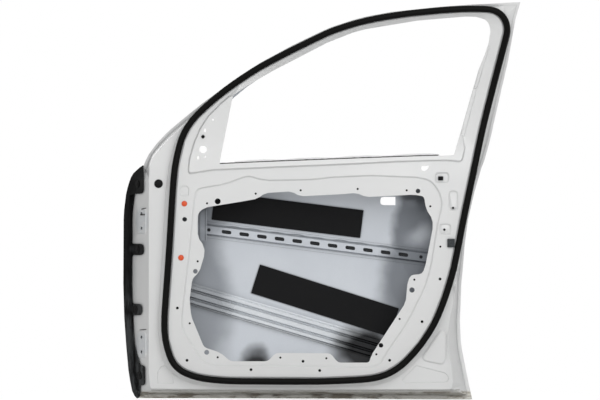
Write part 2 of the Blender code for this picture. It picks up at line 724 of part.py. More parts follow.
def outer_skin(model):
    edge, widths = skin_edge()
    plan = Plan(on_skin(edge))
    plan.line(on_skin(offset(edge, widths, True)), True)
    plan.hole(on_skin(rounded(SKIN_WINDOW, True, longest=STATION)))
    for u0, u1, v0, v1 in (HANDLE_FRONT, HANDLE_REAR):
        plan.hole(on_skin(box_line((u0 + u1) / 2, (v0 + v1) / 2, u1 - u0, v1 - v0, 9)))
    plan.points += on_skin(skin_grid(edge, widths, plan.voids))
    faces = plan.triangles()
    points = list(plan.points)
    fold = SKIN_T + PANEL_T + 2 * GAP
    count = len(edge)
    upper = len(points)
    points += on_skin(edge, fold)
    points += on_skin(offset(edge, [w - HEM_SHORT for w in widths], True), fold)
    for i in range(count):
        j = (i + 1) % count
        faces.append([i, j, upper + j, upper + i])
        faces.append([upper + i, upper + j, upper + count + j, upper + count + i])
    model.sheet("outer_skin", points, faces, SKIN_T, WHITE)


def weatherstrip(model):
    """Closed strip: a D section carried round the seat and tilted with it."""
    path = seal_path()
    outer = raised(offset(path, -1, True), SEAT_LEVEL)
    inner = raised(offset(path, 1, True), SEAT_LEVEL)
    half = SEAL_WIDTH / 2
    section = [(-half, SEAL_GAP), (half, SEAL_GAP), (half, SEAL_HEIGHT * 0.45), (half * 0.6, SEAL_HEIGHT * 0.85),
               (0, SEAL_HEIGHT), (-half * 0.6, SEAL_HEIGHT * 0.85), (-half, SEAL_HEIGHT * 0.45)]
    profile_curve = bpy.data.curves.new("weatherstrip_section", "CURVE")
    spline = profile_curve.splines.new("POLY")
    spline.points.add(len(section) - 1)
    for point, (x, y) in zip(spline.points, reversed(section)):
        point.co = (x / 1000, (y + PANEL_T / 2) / 1000, 0, 1)
    spline.use_cyclic_u = True
    section_object = model.add("weatherstrip_section", profile_curve, None, helper=True)
    strip = bpy.data.curves.new("door_weatherstrip", "CURVE")
    strip.dimensions = "3D"
    strip.twist_mode = "Z_UP"
    strip.bevel_mode = "OBJECT"
    strip.bevel_object = section_object
    run = strip.splines.new("POLY")
    run.points.add(len(path) - 1)
    for point, out, inn in zip(run.points, outer, inner):
        middle = (out + inn) / 2
        point.co = (*(middle / 1000), 1)
        point.tilt = math.atan2(out.z - inn.z, (out - inn).xy.length)
    run.use_cyclic_u = True
    model.add("door_weatherstrip", strip, BLACK_RUBBER)


def hinge_side_seal(model, base):
    """Strip along the hinge edge with four lobes that lie on the hinge face."""
    edge = rounded(SKIN_EDGE[:12], longest=STATION)
    rest = SKIN_T + PANEL_T + 2 * GAP + SKIN_T / 2 + WELD_GAP + HINGE_SEAL_T / 2

    def lay(points, lift=0):
        laid = on_skin(points, rest + lift)
        clearance = -(PANEL_T + HINGE_SEAL_T) / 2 - LOBE_GAP
        for p in laid:
            place, _, _, _ = base.tree.ray_cast(Vector((p.x, p.y, 900)), Vector((0, 0, -1)))
            if place and not lift:
                p.z = max(p.z, base.under(p.x, p.y, clearance))
        return laid

    front = offset(edge, -3)

    def full_section(line):
        return [p for p in line if HINGE_SEAL_ENDS[0] < p.y < HINGE_SEAL_ENDS[1]]

    back = [(p.x, p.y) for p in full_section(offset(edge, HINGE_SEAL_WIDTH))]
    corners = [(p.x, p.y) for p in offset(edge, HINGE_SEAL_WIDTH * 0.4)[:1]]
    for u, v, width, height in sorted(LOBES, key=lambda lobe: lobe[1]):
        low, high = v - height / 2, v + height / 2
        corners += [p for p in back if (not corners or p[1] > corners[-1][1] + 6) and p[1] < low - 6]
        root = min(back, key=lambda p: abs(p[1] - low))[0]
        tip = u + width / 2
        corners += [(root, low, 0, 8), (tip, low, 0, 12), (tip, high, 0, 12), (root, high, 0, 8)]
    corners.pop()
    rear = rounded(corners, turn=30, longest=20)
    plan = Plan(lay(front) + lay(rear)[::-1])
    plan.line(lay(full_section(offset(edge, HINGE_SEAL_WIDTH * 0.4)), HINGE_SEAL_BULGE))
    plan.line(lay(full_section(offset(edge, [p.z for p in edge]))))
    for u, v, _, _ in LOBES:
        normal = base.normal(u, v)
        middle = Vector((0, 0, base.under(u, v))) + normal * (LOBE_GAP + (PANEL_T + HINGE_SEAL_T) / 2)
        plan.hole([p + middle for p in ring_on(normal, u, v, CLIP_STEM_R + 2 * GAP)])
        plan.line([p + middle for p in ring_on(normal, u, v, LOBE_CLIP_HEAD_R + 2, 12)], True)
    model.plan("hinge_side_seal", plan, HINGE_SEAL_T, BLACK_RUBBER)


def seal_clips(model, base):
    top = PANEL_T / 2 + LOBE_GAP + HINGE_SEAL_T + GAP
    outline = [(0, top + 3), (LOBE_CLIP_HEAD_R - 2, top + 3), (LOBE_CLIP_HEAD_R, top + 1.5),
               (LOBE_CLIP_HEAD_R, top), (CLIP_STEM_R, top), (CLIP_STEM_R, -6), (0, -8)]
    for number, (u, v, _, _) in enumerate(LOBES, 1):
        place = Vector((u, v, base.under(u, v)))
        model.turned("seal_clip_%d" % number, outline, BLACK_PLASTIC, place, base.normal(u, v))


def plugs(model, base):
    seat = PANEL_T / 2 + PLUG_GAP

    def plug(name, look, u, v, radius):
        outline = [(0, seat + PLUG_T), (radius - 2, seat + PLUG_T), (radius, seat + PLUG_T - 1.5),
                   (radius, seat), (PLUG_STEM_R, seat), (PLUG_STEM_R, -5), (0, -5)]
        model.turned(name, outline, look, Vector((u, v, base.under(u, v))), base.normal(u, v))

    plug("orange_plug_upper", ORANGE_PLASTIC, *ORANGE_PLUGS[0], ORANGE_PLUG_R)
    plug("orange_plug_lower", ORANGE_PLASTIC, *ORANGE_PLUGS[1], ORANGE_PLUG_R)
    plug("land_plug", BLACK_RUBBER, *LAND_PLUG, LAND_PLUG_R)


def small_blocks(model, base):
    def stand(name, size, look, spot, level=0, turn=0):
        normal = base.normal(*spot)
        rest = level + (PANEL_T / 2 + WELD_GAP) / normal.z
        model.block(name, size, look, Vector((*spot, base.under(*spot) + rest)), normal, turn)

    stand("square_insert", (15, 12, 4), BLACK_PLASTIC, SQUARE_INSERT, EMBOSS)
    stand("mirror_insert", (INSERT_SIZE, INSERT_SIZE, 3), BLACK_PLASTIC, MIRROR_INSERT, turn=math.pi / 4)
    stand("foam_block", FOAM_SIZE, GREY_FOAM, FOAM)


def axis_stations(start, end, count):
    a, b = Vector((*start, 0)), Vector((*end, 0))
    return [a.lerp(b, k / count) for k in range(count + 1)]


def skin_stiffener(model):
    """Slotted hat section glued across the skin."""
    stations = axis_stations(STIFFENER_START, STIFFENER_END, 14)
    lift = (SKIN_T + STRIP_T) / 2 + WELD_GAP
    half, web = STIFFENER_HEIGHT / 2, STIFFENER_WEB / 2
    section = [(half, 0), (half - STIFFENER_FLANGE, 0), (web, STIFFENER_RISE),
               (-web, STIFFENER_RISE), (STIFFENER_FLANGE - half, 0), (-half, 0)]
    lines = [on_skin(offset(stations, -across), lift + rise) for across, rise in section]
    ends = [[line[k] for line in lines[1:-1]] for k in (0, -1)]
    plan = Plan(lines[0] + ends[1] + lines[-1][::-1] + ends[0][::-1])
    for line in lines[1:-1]:
        plan.line(line)
    slope = (STIFFENER_END[1] - STIFFENER_START[1]) / (STIFFENER_END[0] - STIFFENER_START[0])
    surface = plan.surface()

    def axis(u):
        return STIFFENER_START[1] + slope * (u - STIFFENER_START[0])

    for k in range(STIFFENER_SLOTS):
        u = FIRST_SLOT_U + k * SLOT_PITCH
        slot = box_line(u, axis(u), SLOT_LENGTH, SLOT_HEIGHT, SLOT_HEIGHT * 0.45, slope)
        plan.hole(surface.drape(slot))
    for u in (FIRST_SLOT_U - SLOT_PITCH, FIRST_SLOT_U + STIFFENER_SLOTS * SLOT_PITCH):
        plan.hole(surface.drape(ellipse(u, axis(u), SLOT_HEIGHT / 2)))
    model.plan("skin_stiffener", plan, STRIP_T, PRIMER)


def impact_beam(model):
    """Beam pressed with three ribs, arched like the skin behind it."""
    stations = axis_stations(BEAM_START, BEAM_END, 10)
    lift = SKIN_T / 2 + BEAM_STAND_OFF + BEAM_T / 2
    for station in stations:
        station.z = skin_h(station.x, station.y) + lift
    lines = [[Vector((p.x, p.y, p.z + rise)) for p in offset(stations, -across)]
             for across, rise in BEAM_SECTION]
    strip(model, "impact_beam", lines, BEAM_T, PRIMER)


def damping_pads(model):
    for name, (u, v, length, height, slope) in (("upper_damping_pad", UPPER_PAD),
                                                ("lower_damping_pad", LOWER_PAD)):
        along = Vector((1, slope)).normalized()
        up = Vector((-along.y, along.x))
        corner = Vector((u, v))
        columns = math.ceil(length / SKIN_GRID)
        lines = [[Vector((*(corner + along * (length * k / columns) + up * across), 0))
                  for k in range(columns + 1)] for across in (height, height / 2, 0)]
        lift = (SKIN_T + PAD_T) / 2 + WELD_GAP
        strip(model, name, [on_skin(line, lift) for line in lines], PAD_T, BLACK_PAD)


def main():
    model = Model()
    base = panel_lines().surface()
    outer_skin(model)
    inner_panel(model, base)
    belt_strips(model)
    mirror_mount_plate(model, base)
    hinge_plates(model)
    latch_plate(model)
    glass_guide(model)
    weatherstrip(model)
    hinge_side_seal(model, base)
    seal_clips(model, base)
    plugs(model, base)
    small_blocks(model, base)
    skin_stiffener(model)
    impact_beam(model)
    beam_brackets(model, base)
    damping_pads(model)


main()
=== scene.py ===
import json
import math

import bmesh
import bpy
from mathutils import Matrix, Vector
from mathutils.bvhtree import BVHTree


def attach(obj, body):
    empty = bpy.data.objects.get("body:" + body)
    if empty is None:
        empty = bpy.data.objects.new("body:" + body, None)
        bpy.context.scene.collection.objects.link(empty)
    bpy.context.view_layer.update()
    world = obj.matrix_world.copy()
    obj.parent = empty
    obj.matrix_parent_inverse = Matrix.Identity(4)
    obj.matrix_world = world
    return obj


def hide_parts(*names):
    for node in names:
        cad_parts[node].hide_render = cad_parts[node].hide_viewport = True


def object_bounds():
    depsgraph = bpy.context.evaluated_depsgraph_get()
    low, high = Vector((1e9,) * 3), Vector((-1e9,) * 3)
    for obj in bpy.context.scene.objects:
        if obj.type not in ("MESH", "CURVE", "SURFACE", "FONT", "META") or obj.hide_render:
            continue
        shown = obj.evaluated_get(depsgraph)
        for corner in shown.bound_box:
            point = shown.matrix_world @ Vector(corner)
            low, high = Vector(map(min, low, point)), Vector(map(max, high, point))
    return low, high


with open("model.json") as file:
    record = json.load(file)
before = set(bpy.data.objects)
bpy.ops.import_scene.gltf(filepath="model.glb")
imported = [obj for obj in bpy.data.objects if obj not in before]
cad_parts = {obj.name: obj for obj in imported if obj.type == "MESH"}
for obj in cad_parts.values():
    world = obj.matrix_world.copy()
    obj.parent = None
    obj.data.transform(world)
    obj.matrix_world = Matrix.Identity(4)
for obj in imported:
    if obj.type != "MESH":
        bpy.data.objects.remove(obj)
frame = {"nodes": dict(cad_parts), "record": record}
cadLow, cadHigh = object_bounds()
print("door shell frame loaded")


def srgb(red, green, blue):
    # a colour as it reads on screen, turned into the linear value a shader wants
    def linear(c):
        c = c / 255
        return c / 12.92 if c <= 0.04045 else ((c + 0.055) / 1.055) ** 2.4
    return (linear(red), linear(green), linear(blue), 1.0)


def addNode(tree, kind, **settings):
    node = tree.nodes.new(kind)
    for key, value in settings.items():
        setattr(node, key, value)
    return node


def feed(tree, target, value):
    # a socket goes in as a link, anything else as a plain value
    if isinstance(value, bpy.types.NodeSocket):
        tree.links.new(value, target)
    else:
        target.default_value = value


def mathNode(tree, operation, a, b=0.0, clamp=False):
    node = addNode(tree, "ShaderNodeMath", operation=operation, use_clamp=clamp)
    feed(tree, node.inputs[0], a)
    feed(tree, node.inputs[1], b)
    return node.outputs[0]


def times(tree, a, b, clamp=False):
    return mathNode(tree, "MULTIPLY", a, b, clamp)


def inverse(tree, mask):
    return mathNode(tree, "SUBTRACT", 1.0, mask)


def strongest(tree, masks):
    # the highest of several masks at each place
    top = masks[0]
    for mask in masks[1:]:
        top = mathNode(tree, "MAXIMUM", top, mask)
    return top


def vectorNode(tree, operation, a, b=None, output="Vector"):
    node = addNode(tree, "ShaderNodeVectorMath", operation=operation)
    feed(tree, node.inputs[0], a)
    if b is not None:
        feed(tree, node.inputs["Scale"] if operation == "SCALE" else node.inputs[1], b)
    return node.outputs[output]


def mixColour(tree, mask, a, b):
    node = addNode(tree, "ShaderNodeMix", data_type="RGBA", blend_type="MIX")
    feed(tree, node.inputs["Factor"], mask)
    feed(tree, node.inputs[6], a)
    feed(tree, node.inputs[7], b)
    return node.outputs[2]


def stepMask(tree, value, low, high):
    # 0 below low, 1 above high, soft in between
    node = addNode(tree, "ShaderNodeMapRange", interpolation_type="SMOOTHSTEP")
    feed(tree, node.inputs["Value"], value)
    feed(tree, node.inputs["From Min"], low)
    feed(tree, node.inputs["From Max"], high)
    return node.outputs["Result"]


def noiseValue(tree, vector, scale, detail, roughness=0.5, output="Fac"):
    node = addNode(tree, "ShaderNodeTexNoise")
    feed(tree, node.inputs["Vector"], vector)
    feed(tree, node.inputs["Scale"], scale)
    node.inputs["Detail"].default_value = detail
    node.inputs["Roughness"].default_value = roughness
    return node.outputs[output]


def cellValue(tree, vector, scale, feature="F1"):
    node = addNode(tree, "ShaderNodeTexVoronoi", feature=feature)
    feed(tree, node.inputs["Vector"], vector)
    node.inputs["Scale"].default_value = scale
    return node.outputs["Distance"]


def newGroup(name, inputs, result):
    # inputs with their first values: None is the place, a triple a vector, a number a value
    tree = bpy.data.node_groups.new(name, "ShaderNodeTree")
    for label, value in inputs.items():
        kind = "NodeSocketFloat" if isinstance(value, float) else "NodeSocketVector"
        socket = tree.interface.new_socket(label, in_out="INPUT", socket_type=kind)
        if value is not None:
            socket.default_value = value
    tree.interface.new_socket(result, in_out="OUTPUT", socket_type="NodeSocketFloat")
    return tree, addNode(tree, "NodeGroupInput").outputs, addNode(tree, "NodeGroupOutput").inputs


def useGroup(tree, group, **values):
    # each group puts out one mask or height
    node = addNode(tree, "ShaderNodeGroup", node_tree=group)
    for label, value in values.items():
        feed(tree, node.inputs[label], value)
    return node.outputs[0]


# patches of road dust or handling marks, in blotches of one size
def makeGrimeGroup():
    tree, given, result = newGroup(
        "grimePatches", {"Vector": None, "Scale": 12.0, "Cover": 0.4, "Softness": 0.12}, "Mask")
    blotch = noiseValue(tree, given["Vector"], given["Scale"], detail=6.0, roughness=0.62)
    edge = inverse(tree, given["Cover"])
    low = mathNode(tree, "SUBTRACT", edge, given["Softness"])
    high = mathNode(tree, "ADD", edge, given["Softness"])
    feed(tree, result["Mask"], stepMask(tree, blotch, low, high))
    return tree


# the faint ripple that sprayed paint dries with
def makePeelGroup():
    tree, given, result = newGroup(
        "sprayRipple", {"Vector": None, "Scale": 400.0, "Waviness": 0.3}, "Height")
    fine = noiseValue(tree, given["Vector"], given["Scale"], detail=2.0)
    slowScale = times(tree, given["Scale"], 0.04)   # the long waves are 25 times as wide
    slow = noiseValue(tree, given["Vector"], slowScale, detail=1.0)
    wave = times(tree, slow, given["Waviness"])
    feed(tree, result["Height"], mathNode(tree, "ADD", fine, wave))
    return tree


# how far a point lies above a level, as a soft mask along one axis
def makeLevelGroup():
    tree, given, result = newGroup(
        "levelFade", {"Vector": None, "Along": (0, 0, 1), "Low": 0.0, "High": 1.0}, "Mask")
    level = vectorNode(tree, "DOT_PRODUCT", given["Vector"], given["Along"], "Value")
    feed(tree, result["Mask"], stepMask(tree, level, given["Low"], given["High"]))
    return tree


# a soft round or stretched spot about a place
def makeSpotGroup():
    tree, given, result = newGroup(
        "softSpot", {"Vector": None, "Centre": (0, 0, 0), "Size": (0.1, 0.1, 0.1), "Edge": 0.5},
        "Mask")
    shift = vectorNode(tree, "SUBTRACT", given["Vector"], given["Centre"])
    scaled = vectorNode(tree, "DIVIDE", shift, given["Size"])
    length = vectorNode(tree, "LENGTH", scaled, output="Value")
    outside = stepMask(tree, length, inverse(tree, given["Edge"]), 1.0)
    feed(tree, result["Mask"], inverse(tree, outside))
    return tree


grimePatches = makeGrimeGroup()
sprayRipple = makePeelGroup()
levelFade = makeLevelGroup()
softSpot = makeSpotGroup()


def newMaterial(name):
    material = bpy.data.materials.new(name)
    material.use_nodes = True
    tree = material.node_tree
    shader = tree.nodes["Principled BSDF"]
    place = addNode(tree, "ShaderNodeTexCoord").outputs["Object"]
    return material, tree, shader, place


# how much a place is shut in by what stands round it, as a mask for painted shade in corners and
# hollows
def creviceShadeMask(tree, reach, low, high, depth):
    node = addNode(tree, "ShaderNodeAmbientOcclusion", samples=8)
    node.inputs["Distance"].default_value = reach
    return times(tree, inverse(tree, stepMask(tree, node.outputs["AO"], low, high)), depth)


def setRoughness(tree, shader, base, mask, change):
    # base where the mask is 0, and by change more where it is 1
    rough = mathNode(tree, "ADD", times(tree, mask, change), base)
    feed(tree, shader.inputs["Roughness"], rough)


def bump(tree, shader, height, strength, distance):
    node = addNode(tree, "ShaderNodeBump")
    node.inputs["Strength"].default_value = strength
    node.inputs["Distance"].default_value = distance
    feed(tree, node.inputs["Height"], height)
    feed(tree, shader.inputs["Normal"], node.outputs["Normal"])


whitePaint = {
    "colour": srgb(226, 226, 225), "shade": srgb(219, 220, 220),
    "tone": {"scale": 3.5, "detail": 3.0},
    "roughness": 0.38, "toneRoughness": 0.12, "dirtRoughness": 0.4,
    "coat": 0.18, "coatRoughness": 0.10,
    "ripple": {"Scale": 420.0, "Waviness": 1.2}, "bump": {"strength": 0.03, "distance": 0.0006},
    # road dirt at the foot of the door: it fades out between two heights and lies in streaks
    "sill": {"Low": -0.519, "High": -0.509}, "streaks": (0.5, 1.0, 2.0),
    "film": srgb(205, 200, 186), "filmDepth": 0.6,
    "dust": srgb(130, 120, 102), "dustPatches": {"Scale": 22.0, "Cover": 0.48, "Softness": 0.07},
    "stain": srgb(82, 70, 55), "stainPatches": {"Scale": 52.0, "Cover": 0.42, "Softness": 0.06},
    # specks of dust all over
    "specks": {"Scale": 160.0, "Cover": 0.24, "Softness": 0.02}, "speckDepth": 0.18,
    # thin paint where the hinges were bolted
    "rubbed": srgb(192, 199, 205), "rubbedHeights": (0.0, -0.372), "rubbedDepth": 0.45,
    "rubbedSpot": {"Size": (0.034, 0.05, 0.047), "Edge": 0.35},
    "rubbedPatches": {"Scale": 90.0, "Cover": 0.6, "Softness": 0.10},
    # painted shade: the dark line in tight corners, and the softer shade in the feet of the
    # pressings
    "creviceShade": srgb(134, 137, 139),
    "tight": {"reach": 0.010, "low": 0.45, "high": 0.98, "depth": 0.42},
    "wide": {"reach": 0.030, "low": 0.35, "high": 1.0, "depth": 0.30},
}


def makeWhitePaint(p=whitePaint):
    material, tree, shader, place = newMaterial("whitePaint")
    tone = noiseValue(tree, place, **p["tone"])
    colour = mixColour(tree, tone, p["colour"], p["shade"])
    low = inverse(tree, useGroup(tree, levelFade, Vector=place, **p["sill"]))
    colour = mixColour(tree, times(tree, low, p["filmDepth"]), colour, p["film"])
    streaky = vectorNode(tree, "MULTIPLY", place, p["streaks"])
    dirt = times(tree, useGroup(tree, grimePatches, Vector=streaky, **p["dustPatches"]), low)
    colour = mixColour(tree, dirt, colour, p["dust"])
    stain = useGroup(tree, grimePatches, Vector=streaky, **p["stainPatches"])
    colour = mixColour(tree, times(tree, stain, dirt), colour, p["stain"])
    speck = useGroup(tree, grimePatches, Vector=place, **p["specks"])
    colour = mixColour(tree, times(tree, speck, p["speckDepth"]), colour, p["dust"])
    rub = strongest(tree, [
        useGroup(tree, softSpot, Vector=place, Centre=(0.0, 0.0, height), **p["rubbedSpot"])
        for height in p["rubbedHeights"]])
    rub = times(tree, rub, useGroup(tree, grimePatches, Vector=place, **p["rubbedPatches"]))
    colour = mixColour(tree, times(tree, rub, p["rubbedDepth"]), colour, p["rubbed"])
    # painted shade in corners and at the feet of the pressings
    creviceShade = strongest(tree, [creviceShadeMask(tree, **p["tight"]), creviceShadeMask(tree, **p["wide"])])
    colour = mixColour(tree, creviceShade, colour, p["creviceShade"])
    feed(tree, shader.inputs["Base Color"], colour)
    rough = mathNode(tree, "ADD", times(tree, tone, p["toneRoughness"]),
                     p["roughness"] - p["toneRoughness"] / 2)
    rough = mathNode(tree, "ADD", rough, times(tree, dirt, p["dirtRoughness"]), clamp=True)
    feed(tree, shader.inputs["Roughness"], rough)
    shader.inputs["Coat Weight"].default_value = p["coat"]
    shader.inputs["Coat Roughness"].default_value = p["coatRoughness"]
    bump(tree, shader, useGroup(tree, sprayRipple, Vector=place, **p["ripple"]), **p["bump"])
    return material


# a thin grey coat, pale in the middle of the cavity, with painted shade, painted dark reflections
# and a painted highlight in spots round it
primerCoat = {
    "bareAndShade": srgb(76, 81, 88), "overspray": srgb(186, 191, 198), "pale": srgb(206, 210, 215),
    "black": srgb(14, 15, 17), "tone": {"scale": 5.0, "detail": 3.0},
    "roughness": 0.36, "toneRoughness": 0.2, "metallic": 0.25, "shine": 0.3,
    "grain": {"scale": 300.0, "detail": 2.0}, "grainDepth": 0.08,
    "ripple": {"Scale": 260.0, "Waviness": 2.0}, "bump": {"strength": 0.10, "distance": 0.0008},
    # painted shade in corners and grooves, wide and tight
    "creviceShade": srgb(40, 43, 48),
    "wide": {"reach": 0.022, "low": 0.2, "high": 1.0, "depth": 0.45},
    "tight": {"reach": 0.006, "low": 0.5, "high": 0.97, "depth": 0.6},
    # painted shade: the dark strip behind the slotted rail, in the shade of its pocket: slope and
    # height of the rail, and half the width
    "rail": {"fall": 0.1274, "level": -0.0012, "inside": 0.009, "outside": 0.014, "depth": 0.97},
    "wander": {"scale": 7.0, "reach": 0.09},        # how far the edges of the spots stray
    # spots: centre, size, softness of the edge and depth of tone; first the painted shade and dark
    # reflections of the cavity
    "shadeSpots": (
        ((0.13, 0.06, -0.22), (0.17, 0.3, 0.34), 0.45, 0.58),
        ((1.00, 0.06, 0.02), (0.245, 0.3, 0.60), 0.13, 0.78),
        ((0.85, 0.06, -0.20), (0.17, 0.3, 0.17), 0.45, 0.75),
        ((0.17, 0.06, 0.02), (0.12, 0.3, 0.08), 0.6, 0.60),
        ((0.25, 0.06, 0.07), (0.30, 0.3, 0.07), 0.7, 0.45),
    ),
    # a painted highlight, where the painted shade is taken back off
    "highlightSpots": (
        ((0.850, 0.06, -0.050), (0.060, 0.3, 0.055), 0.9, 0.62),
    ),
    # painted shadow: near-black blots
    "shadowBlots": (
        ((0.335, 0.06, -0.420), (0.060, 0.3, 0.052), 0.7, 1.0),
        ((0.665, 0.06, -0.395), (0.115, 0.3, 0.112), 0.6, 1.0),
        ((0.83, 0.06, 0.10), (0.10, 0.3, 0.05), 0.8, 0.45),
    ),
}
# the beam is painted paler, for the light its ridges catch, and its grooves get little painted
# shade
beamPrimer = dict(
    primerCoat, overspray=srgb(212, 217, 222), pale=srgb(228, 231, 234), roughness=0.30,
    wide=dict(primerCoat["wide"], depth=0.045), tight=dict(primerCoat["tight"], depth=0.06))


def strayedPlace(tree, place, scale, reach):
    # the place moved about by slow noise, which gives the spots wandering edges
    noise = noiseValue(tree, place, scale, detail=3.0, output="Color")
    moved = vectorNode(tree, "ADD", place, vectorNode(tree, "SCALE", noise, reach))
    return vectorNode(tree, "SUBTRACT", moved, (reach / 2,) * 3)


def spotsMask(tree, place, spots):
    masks = []
    for centre, size, edge, depth in spots:
        spot = useGroup(tree, softSpot, Vector=place, Centre=centre, Size=size, Edge=edge)
        masks.append(times(tree, spot, depth))
    return strongest(tree, masks)


def makePrimer(name, p=primerCoat, shadeBehindRail=False):
    material, tree, shader, place = newMaterial(name)
    tone = noiseValue(tree, place, **p["tone"])
    pale = mixColour(tree, tone, p["overspray"], p["pale"])
    strayed = strayedPlace(tree, place, **p["wander"])
    # painted shade and dark reflections, taken off again at the painted highlight
    shadeSpots = times(tree, spotsMask(tree, strayed, p["shadeSpots"]),
                   inverse(tree, spotsMask(tree, strayed, p["highlightSpots"])))
    colour = mixColour(tree, shadeSpots, pale, p["bareAndShade"])
    # painted shadow blots
    colour = mixColour(tree, spotsMask(tree, strayed, p["shadowBlots"]), colour, p["black"])
    if shadeBehindRail:                          # painted shade on the skin behind the slotted rail
        rail = p["rail"]
        level = vectorNode(tree, "DOT_PRODUCT", place, (rail["fall"], 0.0, 1.0), "Value")
        away = mathNode(tree, "ABSOLUTE", mathNode(tree, "SUBTRACT", level, rail["level"]))
        strip = inverse(tree, stepMask(tree, away, rail["inside"], rail["outside"]))
        colour = mixColour(tree, times(tree, strip, rail["depth"]), colour, p["black"])
    grain = times(tree, noiseValue(tree, place, **p["grain"]), p["grainDepth"])
    colour = mixColour(tree, grain, colour, p["bareAndShade"])
    # painted shade in corners and grooves
    creviceShade = strongest(tree, [creviceShadeMask(tree, **p["wide"]), creviceShadeMask(tree, **p["tight"])])
    feed(tree, shader.inputs["Base Color"], mixColour(tree, creviceShade, colour, p["creviceShade"]))
    setRoughness(tree, shader, p["roughness"] - p["toneRoughness"] / 2, tone, p["toneRoughness"])
    shader.inputs["Metallic"].default_value = p["metallic"]
    shader.inputs["Specular IOR Level"].default_value = p["shine"]
    bump(tree, shader, useGroup(tree, sprayRipple, Vector=place, **p["ripple"]), **p["bump"])
    return material


doorRubber = {
    "colour": srgb(8, 8, 7), "dusty": srgb(22, 22, 20),
    "dustPatches": {"Scale": 55.0, "Cover": 0.30, "Softness": 0.18}, "dustDepth": 0.6,
    "roughness": 0.55, "dustRoughness": 0.3, "shine": 0.08,
    "grain": {"scale": 900.0, "detail": 3.0}, "bump": {"strength": 0.18, "distance": 0.0004},
}


def makeDoorRubber(p=doorRubber):
    material, tree, shader, place = newMaterial("doorRubber")
    dust = useGroup(tree, grimePatches, Vector=place, **p["dustPatches"])
    dust = times(tree, dust, p["dustDepth"])
    feed(tree, shader.inputs["Base Color"], mixColour(tree, dust, p["colour"], p["dusty"]))
    setRoughness(tree, shader, p["roughness"], dust, p["dustRoughness"])
    shader.inputs["Specular IOR Level"].default_value = p["shine"]
    bump(tree, shader, noiseValue(tree, place, **p["grain"]), **p["bump"])
    return material


# black at the top, rubbed to a dull grey towards the foot of the door, with a painted highlight on
# two lobes
hingeRubber = {
    # worn is the dull grey of the rubbed foot and also the colour of the painted lobe highlights
    "colour": srgb(9, 9, 9), "worn": srgb(62, 64, 65), "foot": {"Low": -0.34, "High": -0.12},
    "topWear": 0.10, "streaks": (1.6, 1.6, 0.35),
    "wearPatches": {"Scale": 46.0, "Cover": 0.52, "Softness": 0.14},
    # painted highlights on the left side of two round lobes
    "lobes": ((-0.031, -0.08, -0.085), (-0.029, -0.08, -0.267)),
    "lobeSpot": {"Size": (0.014, 0.3, 0.018), "Edge": 0.8}, "lobeHighlight": 0.7,
    "roughness": 0.50, "wornRoughness": -0.12, "shine": 0.08,
    "grain": {"scale": 700.0, "detail": 3.0}, "bump": {"strength": 0.18, "distance": 0.0004},
}


def makeHingeRubber(p=hingeRubber):
    material, tree, shader, place = newMaterial("hingeSideRubber")
    foot = inverse(tree, useGroup(tree, levelFade, Vector=place, **p["foot"]))
    streaky = vectorNode(tree, "MULTIPLY", place, p["streaks"])
    rub = useGroup(tree, grimePatches, Vector=streaky, **p["wearPatches"])
    rub = times(tree, rub, mathNode(tree, "ADD", foot, p["topWear"]), clamp=True)
    # painted highlight on two lobes, mixed in with the wear
    lobes = [useGroup(tree, softSpot, Vector=place, Centre=centre, **p["lobeSpot"])
             for centre in p["lobes"]]
    rub = strongest(tree, [rub] + [times(tree, lobe, p["lobeHighlight"]) for lobe in lobes])
    feed(tree, shader.inputs["Base Color"], mixColour(tree, rub, p["colour"], p["worn"]))
    setRoughness(tree, shader, p["roughness"], rub, p["wornRoughness"])
    shader.inputs["Specular IOR Level"].default_value = p["shine"]
    bump(tree, shader, noiseValue(tree, place, **p["grain"]), **p["bump"])
    return material


dampingPad = {
    "colour": srgb(15, 15, 16), "worn": srgb(27, 28, 30),
    "blotches": {"Scale": 18.0, "Cover": 0.5, "Softness": 0.25}, "blotchDepth": 0.35,
    "roughness": 0.62, "blotchRoughness": 0.3, "shine": 0.12,
    "grainScale": 420.0, "bump": {"strength": 0.25, "distance": 0.0005},
}


def makeDampingPad(p=dampingPad):
    material, tree, shader, place = newMaterial("dampingPad")
    blotch = useGroup(tree, grimePatches, Vector=place, **p["blotches"])
    blotch = times(tree, blotch, p["blotchDepth"])
    feed(tree, shader.inputs["Base Color"], mixColour(tree, blotch, p["colour"], p["worn"]))
    setRoughness(tree, shader, p["roughness"], blotch, p["blotchRoughness"])
    shader.inputs["Specular IOR Level"].default_value = p["shine"]
    bump(tree, shader, cellValue(tree, place, p["grainScale"], "SMOOTH_F1"), **p["bump"])
    return material


mouldedPlastic = {
    "scuffs": {"Scale": 140.0, "Cover": 0.42, "Softness": 0.12}, "scuffDepth": 0.45,
    "scuffRoughness": 0.2,
    # painted shade in the hollows of the moulding
    "hollowShade": {"reach": 0.0035, "low": 0.30, "high": 0.95, "depth": 0.85},
    "grain": {"scale": 1600.0, "detail": 2.0}, "bump": {"strength": 0.15, "distance": 0.0003},
}
blackPlastic = dict(
    mouldedPlastic, colour=srgb(11, 11, 11), worn=srgb(26, 26, 25), hollowShadeColour=srgb(3, 3, 3),
    roughness=0.45, shine=0.1)
orangePlastic = dict(
    mouldedPlastic, colour=srgb(224, 84, 38), worn=srgb(206, 104, 66), hollowShadeColour=srgb(118, 42, 22),
    roughness=0.42, shine=0.4)


